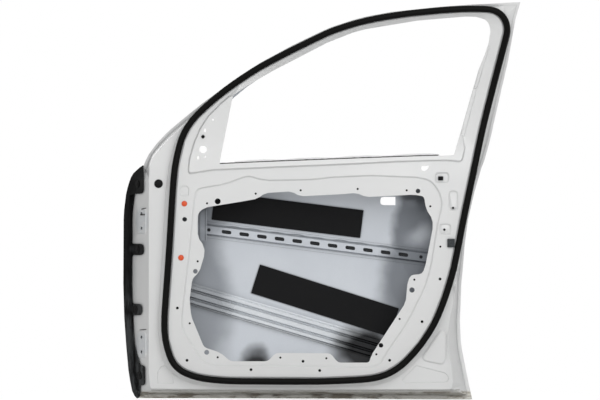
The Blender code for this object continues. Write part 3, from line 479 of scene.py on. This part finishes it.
def makePlastic(name, p):
    material, tree, shader, place = newMaterial(name)
    scuff = useGroup(tree, grimePatches, Vector=place, **p["scuffs"])
    scuff = times(tree, scuff, p["scuffDepth"])
    colour = mixColour(tree, scuff, p["colour"], p["worn"])
    # painted shade in the hollows
    colour = mixColour(tree, creviceShadeMask(tree, **p["hollowShade"]), colour, p["hollowShadeColour"])
    feed(tree, shader.inputs["Base Color"], colour)
    setRoughness(tree, shader, p["roughness"], scuff, p["scuffRoughness"])
    shader.inputs["Specular IOR Level"].default_value = p["shine"]
    bump(tree, shader, noiseValue(tree, place, **p["grain"]), **p["bump"])
    return material


greyFoam = {
    "wall": srgb(82, 86, 88), "pore": srgb(52, 55, 57),
    "cellScale": 700.0, "poreLow": 0.1, "poreHigh": 0.6,
    "roughness": 0.88, "poreRoughness": 0.1, "bump": {"strength": 0.5, "distance": 0.0012},
}


def makeFoam(p=greyFoam):
    material, tree, shader, place = newMaterial("greyFoam")
    cells = cellValue(tree, place, p["cellScale"])
    pores = stepMask(tree, cells, p["poreLow"], p["poreHigh"])
    feed(tree, shader.inputs["Base Color"], mixColour(tree, pores, p["wall"], p["pore"]))
    setRoughness(tree, shader, p["roughness"], pores, p["poreRoughness"])
    bump(tree, shader, cells, **p["bump"])
    return material


zincSteel = {
    "light": srgb(186, 189, 192), "dark": srgb(158, 162, 166), "spangleScale": 160.0,
    "tone": {"scale": 30.0, "detail": 4.0},
    "roughness": 0.34, "toneRoughness": 0.2, "metallic": 0.9,
    "bump": {"strength": 0.10, "distance": 0.0006},
}


def makeZincSteel(p=zincSteel):
    material, tree, shader, place = newMaterial("zincSteel")
    spangle = cellValue(tree, place, p["spangleScale"])
    feed(tree, shader.inputs["Base Color"], mixColour(tree, spangle, p["light"], p["dark"]))
    tone = noiseValue(tree, place, **p["tone"])
    setRoughness(tree, shader, p["roughness"], tone, p["toneRoughness"])
    shader.inputs["Metallic"].default_value = p["metallic"]
    bump(tree, shader, tone, **p["bump"])
    return material


finishes = {
    "white_paint": makeWhitePaint(),
    "primer": makePrimer("primerCoat"),
    "black_rubber": makeDoorRubber(),
    "black_pad": makeDampingPad(),
    "black_plastic": makePlastic("blackPlastic", blackPlastic),
    "orange_plastic": makePlastic("orangePlastic", orangePlastic),
    "grey_foam": makeFoam(),
    "steel": makeZincSteel(),
}
skinCoat = makePrimer("skinCoat", shadeBehindRail=True)
beamCoat = makePrimer("beamCoat", beamPrimer)
sideRubber = makeHingeRubber()
print("finishes ready:", len(finishes))


# angle between faces, in degrees, above which an edge stays crisp
creaseAngles = {"inner_panel": 26, "outer_skin": 24, "impact_beam": 38, "hinge_side_seal": 40}
usualCrease, turnedCrease = 32, 40
mergeDistance = 0.00002                     # points of the frame that are closer than this are one
outward = Vector((0, 1, 0))                 # from the cabin through the door
cabinSide = -1.0                            # the depth at which rays towards the door start


def mergedShape(node):
    shape = bmesh.new()
    shape.from_mesh(frame["nodes"][node].data)
    bmesh.ops.remove_doubles(shape, verts=shape.verts, dist=mergeDistance)
    return shape


def meshFrom(shape, name):
    mesh = bpy.data.meshes.new(name)
    shape.to_mesh(mesh)
    shape.free()
    stored = mesh.attributes.get("custom_normal")    # the frame's shading doesn't fit merged points
    if stored:
        mesh.attributes.remove(stored)
    return mesh


def addObject(name, data):
    thing = bpy.data.objects.new(name, data)
    bpy.context.scene.collection.objects.link(thing)
    return thing


def addPiece(name, data, slot, replaced=(), material=None):
    piece = addObject(name, data)
    data.materials.append(material or finishes[slot])
    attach(piece, "root")
    if replaced:
        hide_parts(*replaced)
    return piece


def crisp(mesh, degrees):
    mesh.shade_smooth()
    mesh.set_sharp_from_angle(angle=math.radians(degrees))


def finishNode(node, slot, material=None):
    mesh = meshFrom(mergedShape(node), node + "Finished")
    crisp(mesh, creaseAngles.get(node, usualCrease))
    addPiece(node + "_finished", mesh, slot, (node,), material)


# the front handle hole: its low and high corner as (x, z), and how round its front end is
handleHole = {"low": (0.722, 0.0475), "high": (0.7655, 0.0725), "round": 0.0115, "segments": 6,
              "through": 0.2}


def cutHandleHole(piece, p=handleHole):
    (lowX, lowZ), (highX, highZ) = p["low"], p["high"]
    shape = bmesh.new()
    bmesh.ops.create_cube(shape, size=1.0)
    bmesh.ops.scale(shape, verts=shape.verts, vec=(highX - lowX, p["through"], highZ - lowZ))
    bmesh.ops.translate(shape, verts=shape.verts,
                        vec=((highX + lowX) / 2, 0.0, (highZ + lowZ) / 2))
    front = [e for e in shape.edges if max(v.co.x for v in e.verts) < (lowX + highX) / 2
             and abs(e.verts[0].co.y - e.verts[1].co.y) > p["through"] / 2]
    bmesh.ops.bevel(shape, geom=front, offset=p["round"], affect="EDGES",
                    segments=p["segments"], profile=0.5, material=-1)
    cutter = addObject("handleCutter", meshFrom(shape, "handleCutter"))
    cut = piece.modifiers.new("handleHole", "BOOLEAN")
    cut.operation, cut.solver, cut.object = "DIFFERENCE", "EXACT", cutter
    bpy.context.view_layer.update()
    ready = piece.evaluated_get(bpy.context.evaluated_depsgraph_get())
    whole = piece.data
    piece.data = bpy.data.meshes.new_from_object(ready)
    piece.modifiers.clear()
    bpy.data.objects.remove(cutter)
    print("handle hole cut:", len(whole.polygons), "faces before,", len(piece.data.polygons),
          "after")
    bpy.data.meshes.remove(whole)


# a fold has more sheet behind it within this depth, and both of its layers are painted
hem = {"depth": 0.0045, "layers": 2, "facing": -0.3, "skip": Vector((0, 0.0001, 0))}


# the skin is painted outside and on its hem, and keeps its thin coat inside
def finishSkin(p=hem):
    shape = mergedShape("outer_skin")
    tree = BVHTree.FromBMesh(shape)
    for face in [f for f in shape.faces if f.normal.y < p["facing"]]:
        middle = face.calc_center_median()
        layers, start = 0, middle + p["skip"]
        while layers < p["layers"]:
            place = tree.ray_cast(start, outward, middle.y + p["depth"] - start.y)[0]
            if place is None:
                break
            layers, start = layers + 1, place + p["skip"]
        face.material_index = 1 if layers < p["layers"] else 0
    mesh = meshFrom(shape, "outerSkinFinished")
    skin = addPiece("outer_skin_finished", mesh, "white_paint", ("outer_skin",))
    mesh.materials.append(skinCoat)
    cutHandleHole(skin)
    crisp(skin.data, creaseAngles["outer_skin"])


# the strip is coarse in the frame, so its section is rounded off
weatherstrip = {"flatWithin": 25, "squareWithin": 60, "levels": 1,
                "swell": 0.0009}            # rounding draws the section in by about this much


def finishWeatherstrip(p=weatherstrip):
    shape = mergedShape("door_weatherstrip")
    bmesh.ops.join_triangles(shape, faces=shape.faces,
                             angle_face_threshold=math.radians(p["flatWithin"]),
                             angle_shape_threshold=math.radians(p["squareWithin"]))
    shape.normal_update()
    for vert in shape.verts:
        vert.co += vert.normal * p["swell"]
    mesh = meshFrom(shape, "weatherstripFinished")
    mesh.shade_smooth()
    strip = addPiece("door_weatherstrip_finished", mesh, "black_rubber", ("door_weatherstrip",))
    rounding = strip.modifiers.new("roundSection", "SUBSURF")
    rounding.levels = rounding.render_levels = p["levels"]


# shallow pressings of the inner panel: corners as (x, z) running round a convex outline
pressings = {
    "depth": 0.0022, "ramp": 0.0025,
    "margin": 0.01,                         # faces this far outside an outline are cut too
    "slack": 0.00005,                       # points this near the floor's outline still sink
    "outlines": {
        "rearTrapezoid": ((0.826, -0.433), (0.912, -0.455), (0.924, -0.464), (0.926, -0.475),
                          (0.919, -0.485), (0.793, -0.488), (0.782, -0.478)),
        "frontArch": ((0.048, -0.489), (0.098, -0.489), (0.098, -0.455), (0.088, -0.438),
                      (0.073, -0.432), (0.058, -0.438), (0.048, -0.455)),
        "plugPad": ((0.117, 0.075), (0.143, 0.075), (0.145, 0.098), (0.138, 0.106),
                    (0.124, 0.106), (0.116, 0.098)),
        "pillarGrooveLow": ((0.958, 0.256), (0.971, 0.252), (1.010, 0.398), (0.997, 0.400)),
        "pillarGrooveHigh": ((0.997, 0.400), (1.010, 0.398), (1.045, 0.520), (1.033, 0.524)),
    },
}


def flat(place):
    # a place as it is seen from the cabin, without its depth
    return Vector((place.x, 0, place.z))


def pressPocket(shape, corners, p=pressings):
    middle = Vector((sum(x for x, z in corners), 0, sum(z for x, z in corners))) / len(corners)
    walls = []
    for (x0, z0), (x1, z1) in zip(corners, corners[1:] + corners[:1]):
        start = Vector((x0, 0, z0))
        out = Vector((z1 - z0, 0, x0 - x1)).normalized()
        if out.dot(start - middle) < 0:
            out = -out
        walls.append((start, out))
    reach = max((Vector((x, 0, z)) - middle).length for x, z in corners) + p["margin"]

    def isNear(face):
        return (flat(face.calc_center_median()) - middle).length < reach or any(
            abs(v.co.x - middle.x) < reach and abs(v.co.z - middle.z) < reach
            for v in face.verts)

    for offset in (0.0, -p["ramp"]):        # the rim of the pressing, then its floor
        for start, out in walls:
            near = [f for f in shape.faces if isNear(f)]
            parts = list({e for f in near for e in f.edges} | {v for f in near for v in f.verts})
            bmesh.ops.bisect_plane(shape, geom=parts + near, dist=mergeDistance,
                                   plane_co=start + out * offset, plane_no=out)
    for vert in shape.verts:
        if all((flat(vert.co) - start).dot(out) < p["slack"] - p["ramp"] for start, out in walls):
            vert.co.y += p["depth"]


def finishPanel():
    shape = mergedShape("inner_panel")
    for corners in pressings["outlines"].values():
        pressPocket(shape, corners)
    bmesh.ops.triangulate(shape, faces=[f for f in shape.faces if len(f.verts) > 4])
    mesh = meshFrom(shape, "innerPanelFinished")
    crisp(mesh, creaseAngles["inner_panel"])
    addPiece("inner_panel_finished", mesh, "white_paint", ("inner_panel",))


slotOf = {part["node"]: part["material_slot"] for part in frame["record"]["subparts"]}
ownMaterial = {"hinge_side_seal": sideRubber, "impact_beam": beamCoat,
               "glass_guide": finishes["primer"]}
plugNodes = ["orange_plug_upper", "orange_plug_lower", "land_plug",
             "seal_clip_1", "seal_clip_2", "seal_clip_3", "seal_clip_4"]
ownWay = {"outer_skin", "inner_panel", "door_weatherstrip", *plugNodes}
for node in sorted(set(frame["nodes"]) - ownWay):
    finishNode(node, slotOf[node], ownMaterial.get(node))
finishSkin()
finishPanel()
finishWeatherstrip()
print("sheet metal and rubber finished")


plugs = {
    # heads as (share of the radius, depth under the top in mm), from the middle outwards
    "orange": ((0, 1.6), (0.24, 1.6), (0.32, 0.3), (0.48, 0.2), (0.56, 1.8), (0.74, 1.8),
               (0.82, 0.1), (0.95, 0.2), (1.0, 0.9)),
    "land": ((0, 0.2), (0.40, 0.2), (0.46, 0.7), (0.54, 0.7), (0.60, 0.1), (0.88, 0.0),
             (0.96, 0.3), (1.0, 1.0)),
    "clip": ((0, -2.4), (0.26, -2.4), (0.32, -3.4), (0.48, -3.6), (0.66, -2.9), (0.82, -1.6),
             (0.94, 0.0), (1.0, 1.9)),
    "steps": 40, "clipRadius": 0.0115,
    "fit": 0.985,                           # keeps a round head inside the frame's ten-sided one
    "tipLength": 0.001, "tipShare": 0.6,    # the stem narrows at its end
}
axisMerge = 0.00001                         # a spun outline's points on the axis become one


def headOf(node):
    # the flat top is the widest face that a turned piece has
    rimShare, rimSlack = 0.98, 0.001
    shape = mergedShape(node)
    areas = {}
    for face in shape.faces:
        direction = tuple(round(c, 2) for c in face.normal)
        areas.setdefault(direction, []).append(face)
    top = max(areas.values(), key=lambda faces: sum(f.calc_area() for f in faces))
    normal = top[0].normal.copy()
    total = sum(f.calc_area() for f in top)
    middle = sum((f.calc_center_median() * f.calc_area() for f in top), Vector()) / total
    away = [v.co - middle for v in shape.verts]
    depths = [-d.dot(normal) for d in away]
    radii = [(d - normal * d.dot(normal)).length for d in away]
    radius, depth = max(radii), max(depths)
    rimDepth = max(d for d, r in zip(depths, radii) if r > rimShare * radius)
    stem = max(r for d, r in zip(depths, radii) if d > rimDepth + rimSlack)
    shape.free()
    return middle, normal, radius, depth, rimDepth, stem


def spunShape(outline, middle, normal, steps):
    shape = bmesh.new()
    verts = [shape.verts.new((r, 0, z)) for r, z in outline]
    edges = [shape.edges.new(pair) for pair in zip(verts, verts[1:])]
    bmesh.ops.spin(shape, geom=verts + edges, cent=(0, 0, 0), axis=(0, 0, 1),
                   angle=math.tau, steps=steps, use_merge=True)
    bmesh.ops.remove_doubles(shape, verts=shape.verts, dist=axisMerge)
    bmesh.ops.recalc_face_normals(shape, faces=shape.faces)
    turn = Matrix.Translation(middle) @ normal.to_track_quat("Z", "Y").to_matrix().to_4x4()
    bmesh.ops.transform(shape, matrix=turn, verts=shape.verts)
    return shape


def addPlug(node, head, p=plugs):
    middle, normal, radius, depth, rimDepth, stem = headOf(node)
    radius = p["clipRadius"] if head == "clip" else radius * p["fit"]
    outline = [(share * radius, -down / 1000) for share, down in p[head]]
    outline += [(radius, -rimDepth), (stem, -rimDepth), (stem, p["tipLength"] - depth),
                (stem * p["tipShare"], -depth), (0, -depth)]
    mesh = meshFrom(spunShape(outline, middle, normal, p["steps"]), node + "Finished")
    crisp(mesh, turnedCrease)
    addPiece(node + "_finished", mesh, slotOf[node], (node,))


for node in plugNodes:
    addPlug(node, "orange" if "orange" in node else "land" if "land" in node else "clip")
print("plugs and clips turned:", len(plugNodes))


def sheetTree(node):
    shape = mergedShape(node)
    tree = BVHTree.FromBMesh(shape)
    shape.free()
    return tree


def sheetAt(tree, x, z):
    # the nearest metal seen from the cabin at a place of the door, or None in an opening
    return tree.ray_cast(Vector((x, cabinSide, z)), outward)[0]


# small holes of the inner panel, closed by dark plugs that stand in for the shade seen through
# them: places as (x, z) in millimetres
holeShadePlugs = {
    "wide": ((109, -261), (138, -418), (330, -446), (536, -448.5), (746, -418), (843, -302),
             (897, -174), (910, -26), (936, 39), (486, -421)),
    "narrow": ((198, 53), (344, 82), (479, 92), (650, 96), (797, 92), (868, 44), (898, -77),
               (820, -176), (776, -294), (706, -400), (556, -412), (418, -410), (230, -409),
               (146, -307), (170, -121)),
    "wideRadius": 0.0042, "narrowRadius": 0.0031, "steps": 20, "proud": 0.0006,
    "shift": 0.00033,                       # whole millimetres are this far off along the door
    "probes": 8, "probeGap": 0.0015,        # the sheet is felt for all round, just off the rim
    # outline from the middle: share of the radius and depth under the sheet in millimetres
    "outline": ((0, 1.0), (0.5, 0.95), (0.78, 0.5), (1.0, 0.35), (1.0, 1.0), (0.6, 1.6),
                (0, 1.8)),
}


def addHoleShadePlugs(p=holeShadePlugs):
    panel, probes = sheetTree("inner_panel"), p["probes"]
    whole = bmesh.new()
    for kind in ("wide", "narrow"):
        radius = p[kind + "Radius"]
        outline = [(share * radius, -down / 1000) for share, down in p["outline"]]
        for x, z in p[kind]:
            centre = Vector((x / 1000 + p["shift"], cabinSide, z / 1000))
            ring = []
            for turn in range(probes):
                angle = turn * math.tau / probes
                side = Vector((math.cos(angle), 0, math.sin(angle)))
                place = panel.ray_cast(centre + side * (radius + p["probeGap"]), outward)[0]
                if place:
                    ring.append(place)
            if len(ring) < probes:          # no plug without sheet all round it
                continue
            normal = sum(((ring[i] - ring[i - 2]).cross(ring[i - 1] - ring[i - 2])
                          for i in range(probes)), Vector())
            normal = normal.normalized() * (-1 if normal.y > 0 else 1)
            middle = sum(ring, Vector()) / probes + normal * p["proud"]
            part = meshFrom(spunShape(outline, middle, normal, p["steps"]), "plugPart")
            whole.from_mesh(part)
            bpy.data.meshes.remove(part)
    mesh = meshFrom(whole, "holeShadePlugs")
    crisp(mesh, turnedCrease)
    # dark plugs: painted shade in the holes
    addPiece("holeShadePlugs", mesh, "black_plastic")


sealer = {
    "tone": {"scale": 120.0, "detail": 4.0}, "grain": {"scale": 500.0, "detail": 3.0},
    "roughness": 0.5, "toneRoughness": 0.2, "bump": {"strength": 0.3, "distance": 0.0006},
    "railMastic": (srgb(118, 123, 129), srgb(150, 155, 160)),
    "hemGrime": (srgb(84, 80, 72), srgb(132, 127, 116)),
    # painted shade for the gaps beside the hinge pads
    "hingeGapShade": (srgb(24, 23, 22), srgb(52, 50, 47)),
}


def makeSealer(name, p=sealer):
    material, tree, shader, place = newMaterial(name)
    tone = noiseValue(tree, place, **p["tone"])
    feed(tree, shader.inputs["Base Color"], mixColour(tree, tone, *p[name]))
    setRoughness(tree, shader, p["roughness"], tone, p["toneRoughness"])
    bump(tree, shader, noiseValue(tree, place, **p["grain"]), **p["bump"])
    return material


# beads as (x, z) from front to rear, with their radius and how far they wander, in metres
beads = {
    "railMastic": {"path": ((0.235, -0.0135), (0.40, -0.0345), (0.60, -0.0600), (0.80, -0.0855)),
                   "radius": 0.0011, "wander": 0.0022, "steps": 90, "on": ("skin_stiffener",)},
    "hemSealer": {"path": ((0.030, -0.5085), (0.40, -0.5085), (0.90, -0.5085), (0.958, -0.5085)),
                  "radius": 0.0009, "wander": 0.0004, "steps": 80,
                  "on": ("inner_panel", "outer_skin")},
    # dark beads in the gaps beside the hinge pads: painted shade of the small steps there
    "hingeGapUpper": {"path": ((0.0005, 0.0355), (0.0145, 0.0385)),
                      "radius": 0.0013, "wander": 0.0, "steps": 6, "on": ("inner_panel",)},
    "hingeGapMiddle": {"path": ((-0.0020, 0.0190), (0.0100, 0.0190)),
                       "radius": 0.0023, "wander": 0.0, "steps": 6, "on": ("inner_panel",)},
    "hingeGapLower": {"path": ((-0.0050, -0.3285), (0.0150, -0.3260)),
                      "radius": 0.0012, "wander": 0.0, "steps": 6, "on": ("inner_panel",)},
}
# a hand-laid bead strays in a fast and a slow wave, swells and thins, and is pressed on
handLaid = {"fast": 97.0, "fastShare": 0.6, "slow": 41.0, "slowStart": 1.3, "slowShare": 0.4,
            "swell": 0.18, "swellX": 310.0, "swellZ": 190.0, "swellStart": 1.0, "proud": 0.4}


def beadCurve(name, points, radius, p=handLaid):
    curve = bpy.data.curves.new(name, "CURVE")
    curve.dimensions = "3D"
    curve.bevel_depth, curve.bevel_resolution, curve.use_fill_caps = radius, 3, True
    line = curve.splines.new("POLY")
    line.points.add(len(points) - 1)
    for spot, place in zip(line.points, points):
        spot.co = (*place, 1.0)
        spot.radius = (1.0 + p["swell"] * math.sin(place[0] * p["swellX"])
                       * math.sin(place[2] * p["swellZ"] + p["swellStart"]))
    return curve


def addSurfaceBead(name, material, p=handLaid):
    bead = beads[name]
    trees, path, points = [sheetTree(node) for node in bead["on"]], bead["path"], []
    for i in range(bead["steps"] + 1):
        x = path[0][0] + (path[-1][0] - path[0][0]) * i / bead["steps"]
        k = max(j for j in range(len(path) - 1) if path[j][0] <= x)
        share = (x - path[k][0]) / (path[k + 1][0] - path[k][0])
        z = path[k][1] + (path[k + 1][1] - path[k][1]) * share
        z += bead["wander"] * (math.sin(x * p["fast"]) * p["fastShare"]
                               + math.sin(x * p["slow"] + p["slowStart"]) * p["slowShare"])
        hits = [hit for hit in (sheetAt(tree, x, z) for tree in trees) if hit]
        if hits:
            points.append((x, min(hit.y for hit in hits) - bead["radius"] * p["proud"], z))
    addPiece(name, beadCurve(name, points, bead["radius"]), "black_rubber", (), material)


# a dark bead along the sill of the window, laid behind the edge of the panel: painted shade in the
# gap there
sillShadeLine = {
    "from": 0.237, "to": 0.892, "radius": 0.0021, "steps": 60,
    "lowest": 0.17, "highest": 0.23, "search": 0.0005,      # heights between which the edge lies
    "inset": 0.001, "behind": 0.0032, "above": 0.0004,
}


def addSillShadeLine(p=sillShadeLine):
    panel, points = sheetTree("inner_panel"), []
    for i in range(p["steps"] + 1):
        x = p["from"] + (p["to"] - p["from"]) * i / p["steps"]
        z = p["lowest"]
        while sheetAt(panel, x, z) and z < p["highest"]:
            z += p["search"]
        edge = sheetAt(panel, x, z - p["inset"])
        points.append((x, edge.y + p["behind"], z + p["above"]))
    addPiece("sill_shade_line", beadCurve("sill_shade_line", points, p["radius"]), "black_rubber")


addSillShadeLine()
addSurfaceBead("railMastic", makeSealer("railMastic"))
addSurfaceBead("hemSealer", makeSealer("hemGrime"))
# painted shade beside the hinge pads
hingeGapShade = makeSealer("hingeGapShade")
for name in ("hingeGapUpper", "hingeGapMiddle", "hingeGapLower"):
    addSurfaceBead(name, hingeGapShade)
addHoleShadePlugs()
print("sealer and hole plugs laid")


studio = {
    "centre": Vector((0.4773, -0.05, 0.063)), "distance": 15.0, "pictureWidth": 1.8,
    "farthest": 100, "worldLevel": 0.27,
}
lamps = {
    "keyLight": {"place": (1.6, -3.8, 2.0), "size": 3.2, "energy": 104.0},
    "fillLight": {"place": (-1.4, -3.6, 0.4), "size": 2.6, "energy": 18.0},
    "backLight": {"place": (-0.9, 3.9, 1.7), "size": 3.0, "energy": 92.0},
}
paleFloor = {
    "halfWidth": 30.0, "behind": 8.0, "gap": 0.001, "colour": (0.86, 0.86, 0.86, 1),
    "roughness": 0.9,
    "lift": 0.42,                           # light added to the floor for the eye alone
    "shadow": {"Size": (1.15, 0.75, 1.0), "Edge": 0.9},     # the spot where shadow shows
}


def backdropRays(tree):
    # 1 for the rays that see the white backdrop, straight, in a reflection or through glass
    path = addNode(tree, "ShaderNodeLightPath")
    return strongest(tree, [path.outputs[ray] for ray in
                            ("Is Camera Ray", "Is Glossy Ray", "Is Transmission Ray")])


def mixShaders(tree, mask, first, second):
    node = addNode(tree, "ShaderNodeMixShader")
    feed(tree, node.inputs[0], mask)
    feed(tree, node.inputs[1], first.outputs[0])
    feed(tree, node.inputs[2], second.outputs[0])
    return node.outputs[0]


def makeFloor(p=paleFloor):
    shape = bmesh.new()
    bmesh.ops.create_grid(shape, x_segments=1, y_segments=1, size=p["halfWidth"])
    bmesh.ops.translate(shape, verts=shape.verts,
                        vec=(studio["centre"].x, p["behind"], cadLow.z - p["gap"]))
    mesh = meshFrom(shape, "studioFloor")
    floor = addObject("studioFloor", mesh)
    material, tree, shader, place = newMaterial("paleFloor")
    shader.inputs["Base Color"].default_value = p["colour"]
    shader.inputs["Roughness"].default_value = p["roughness"]
    # white to the eye away from the door, so that only the shadow under it shows
    near = useGroup(tree, softSpot, Vector=place, Centre=(studio["centre"].x, 0.0, cadLow.z),
                    **p["shadow"])
    seen = backdropRays(tree)
    white, lift = addNode(tree, "ShaderNodeEmission"), addNode(tree, "ShaderNodeEmission")
    feed(tree, lift.inputs["Strength"], times(tree, seen, p["lift"]))
    lifted = addNode(tree, "ShaderNodeAddShader")
    feed(tree, lifted.inputs[0], shader.outputs[0])
    feed(tree, lifted.inputs[1], lift.outputs[0])
    surface = mixShaders(tree, times(tree, seen, inverse(tree, near)), lifted, white)
    feed(tree, tree.nodes["Material Output"].inputs["Surface"], surface)
    mesh.materials.append(material)


def makeWorld():
    world = bpy.data.worlds.new("studioWorld")
    world.use_nodes = True
    tree = world.node_tree
    tree.nodes.clear()
    light, backdrop = (addNode(tree, "ShaderNodeBackground") for side in range(2))
    for background, strength in ((light, studio["worldLevel"]), (backdrop, 1.0)):
        background.inputs["Color"].default_value = (1, 1, 1, 1)
        background.inputs["Strength"].default_value = strength
    output = addNode(tree, "ShaderNodeOutputWorld")
    feed(tree, output.inputs["Surface"], mixShaders(tree, backdropRays(tree), light, backdrop))
    bpy.context.scene.world = world


def addLamp(name, place, size, energy):
    lamp = bpy.data.lights.new(name, "AREA")
    lamp.size, lamp.energy = size, energy
    holder = addObject(name, lamp)
    holder.visible_camera = False
    holder.location = place
    aim = studio["centre"] - Vector(place)
    holder.rotation_euler = aim.to_track_quat("-Z", "Y").to_euler()


def addCamera():
    # level and square to the door, from far off as in the photograph
    data = bpy.data.cameras.new("doorCamera")
    data.lens = data.sensor_width * studio["distance"] / studio["pictureWidth"]
    data.clip_end = studio["farthest"]
    camera = addObject("doorCamera", data)
    camera.location = studio["centre"] - Vector((0, studio["distance"], 0))
    camera.rotation_euler = (math.radians(90), 0, 0)
    bpy.context.scene.camera = camera


makeFloor()
makeWorld()
for name, values in lamps.items():
    addLamp(name, **values)
addCamera()
bpy.context.scene.view_settings.view_transform = "Standard"
print("stage set")
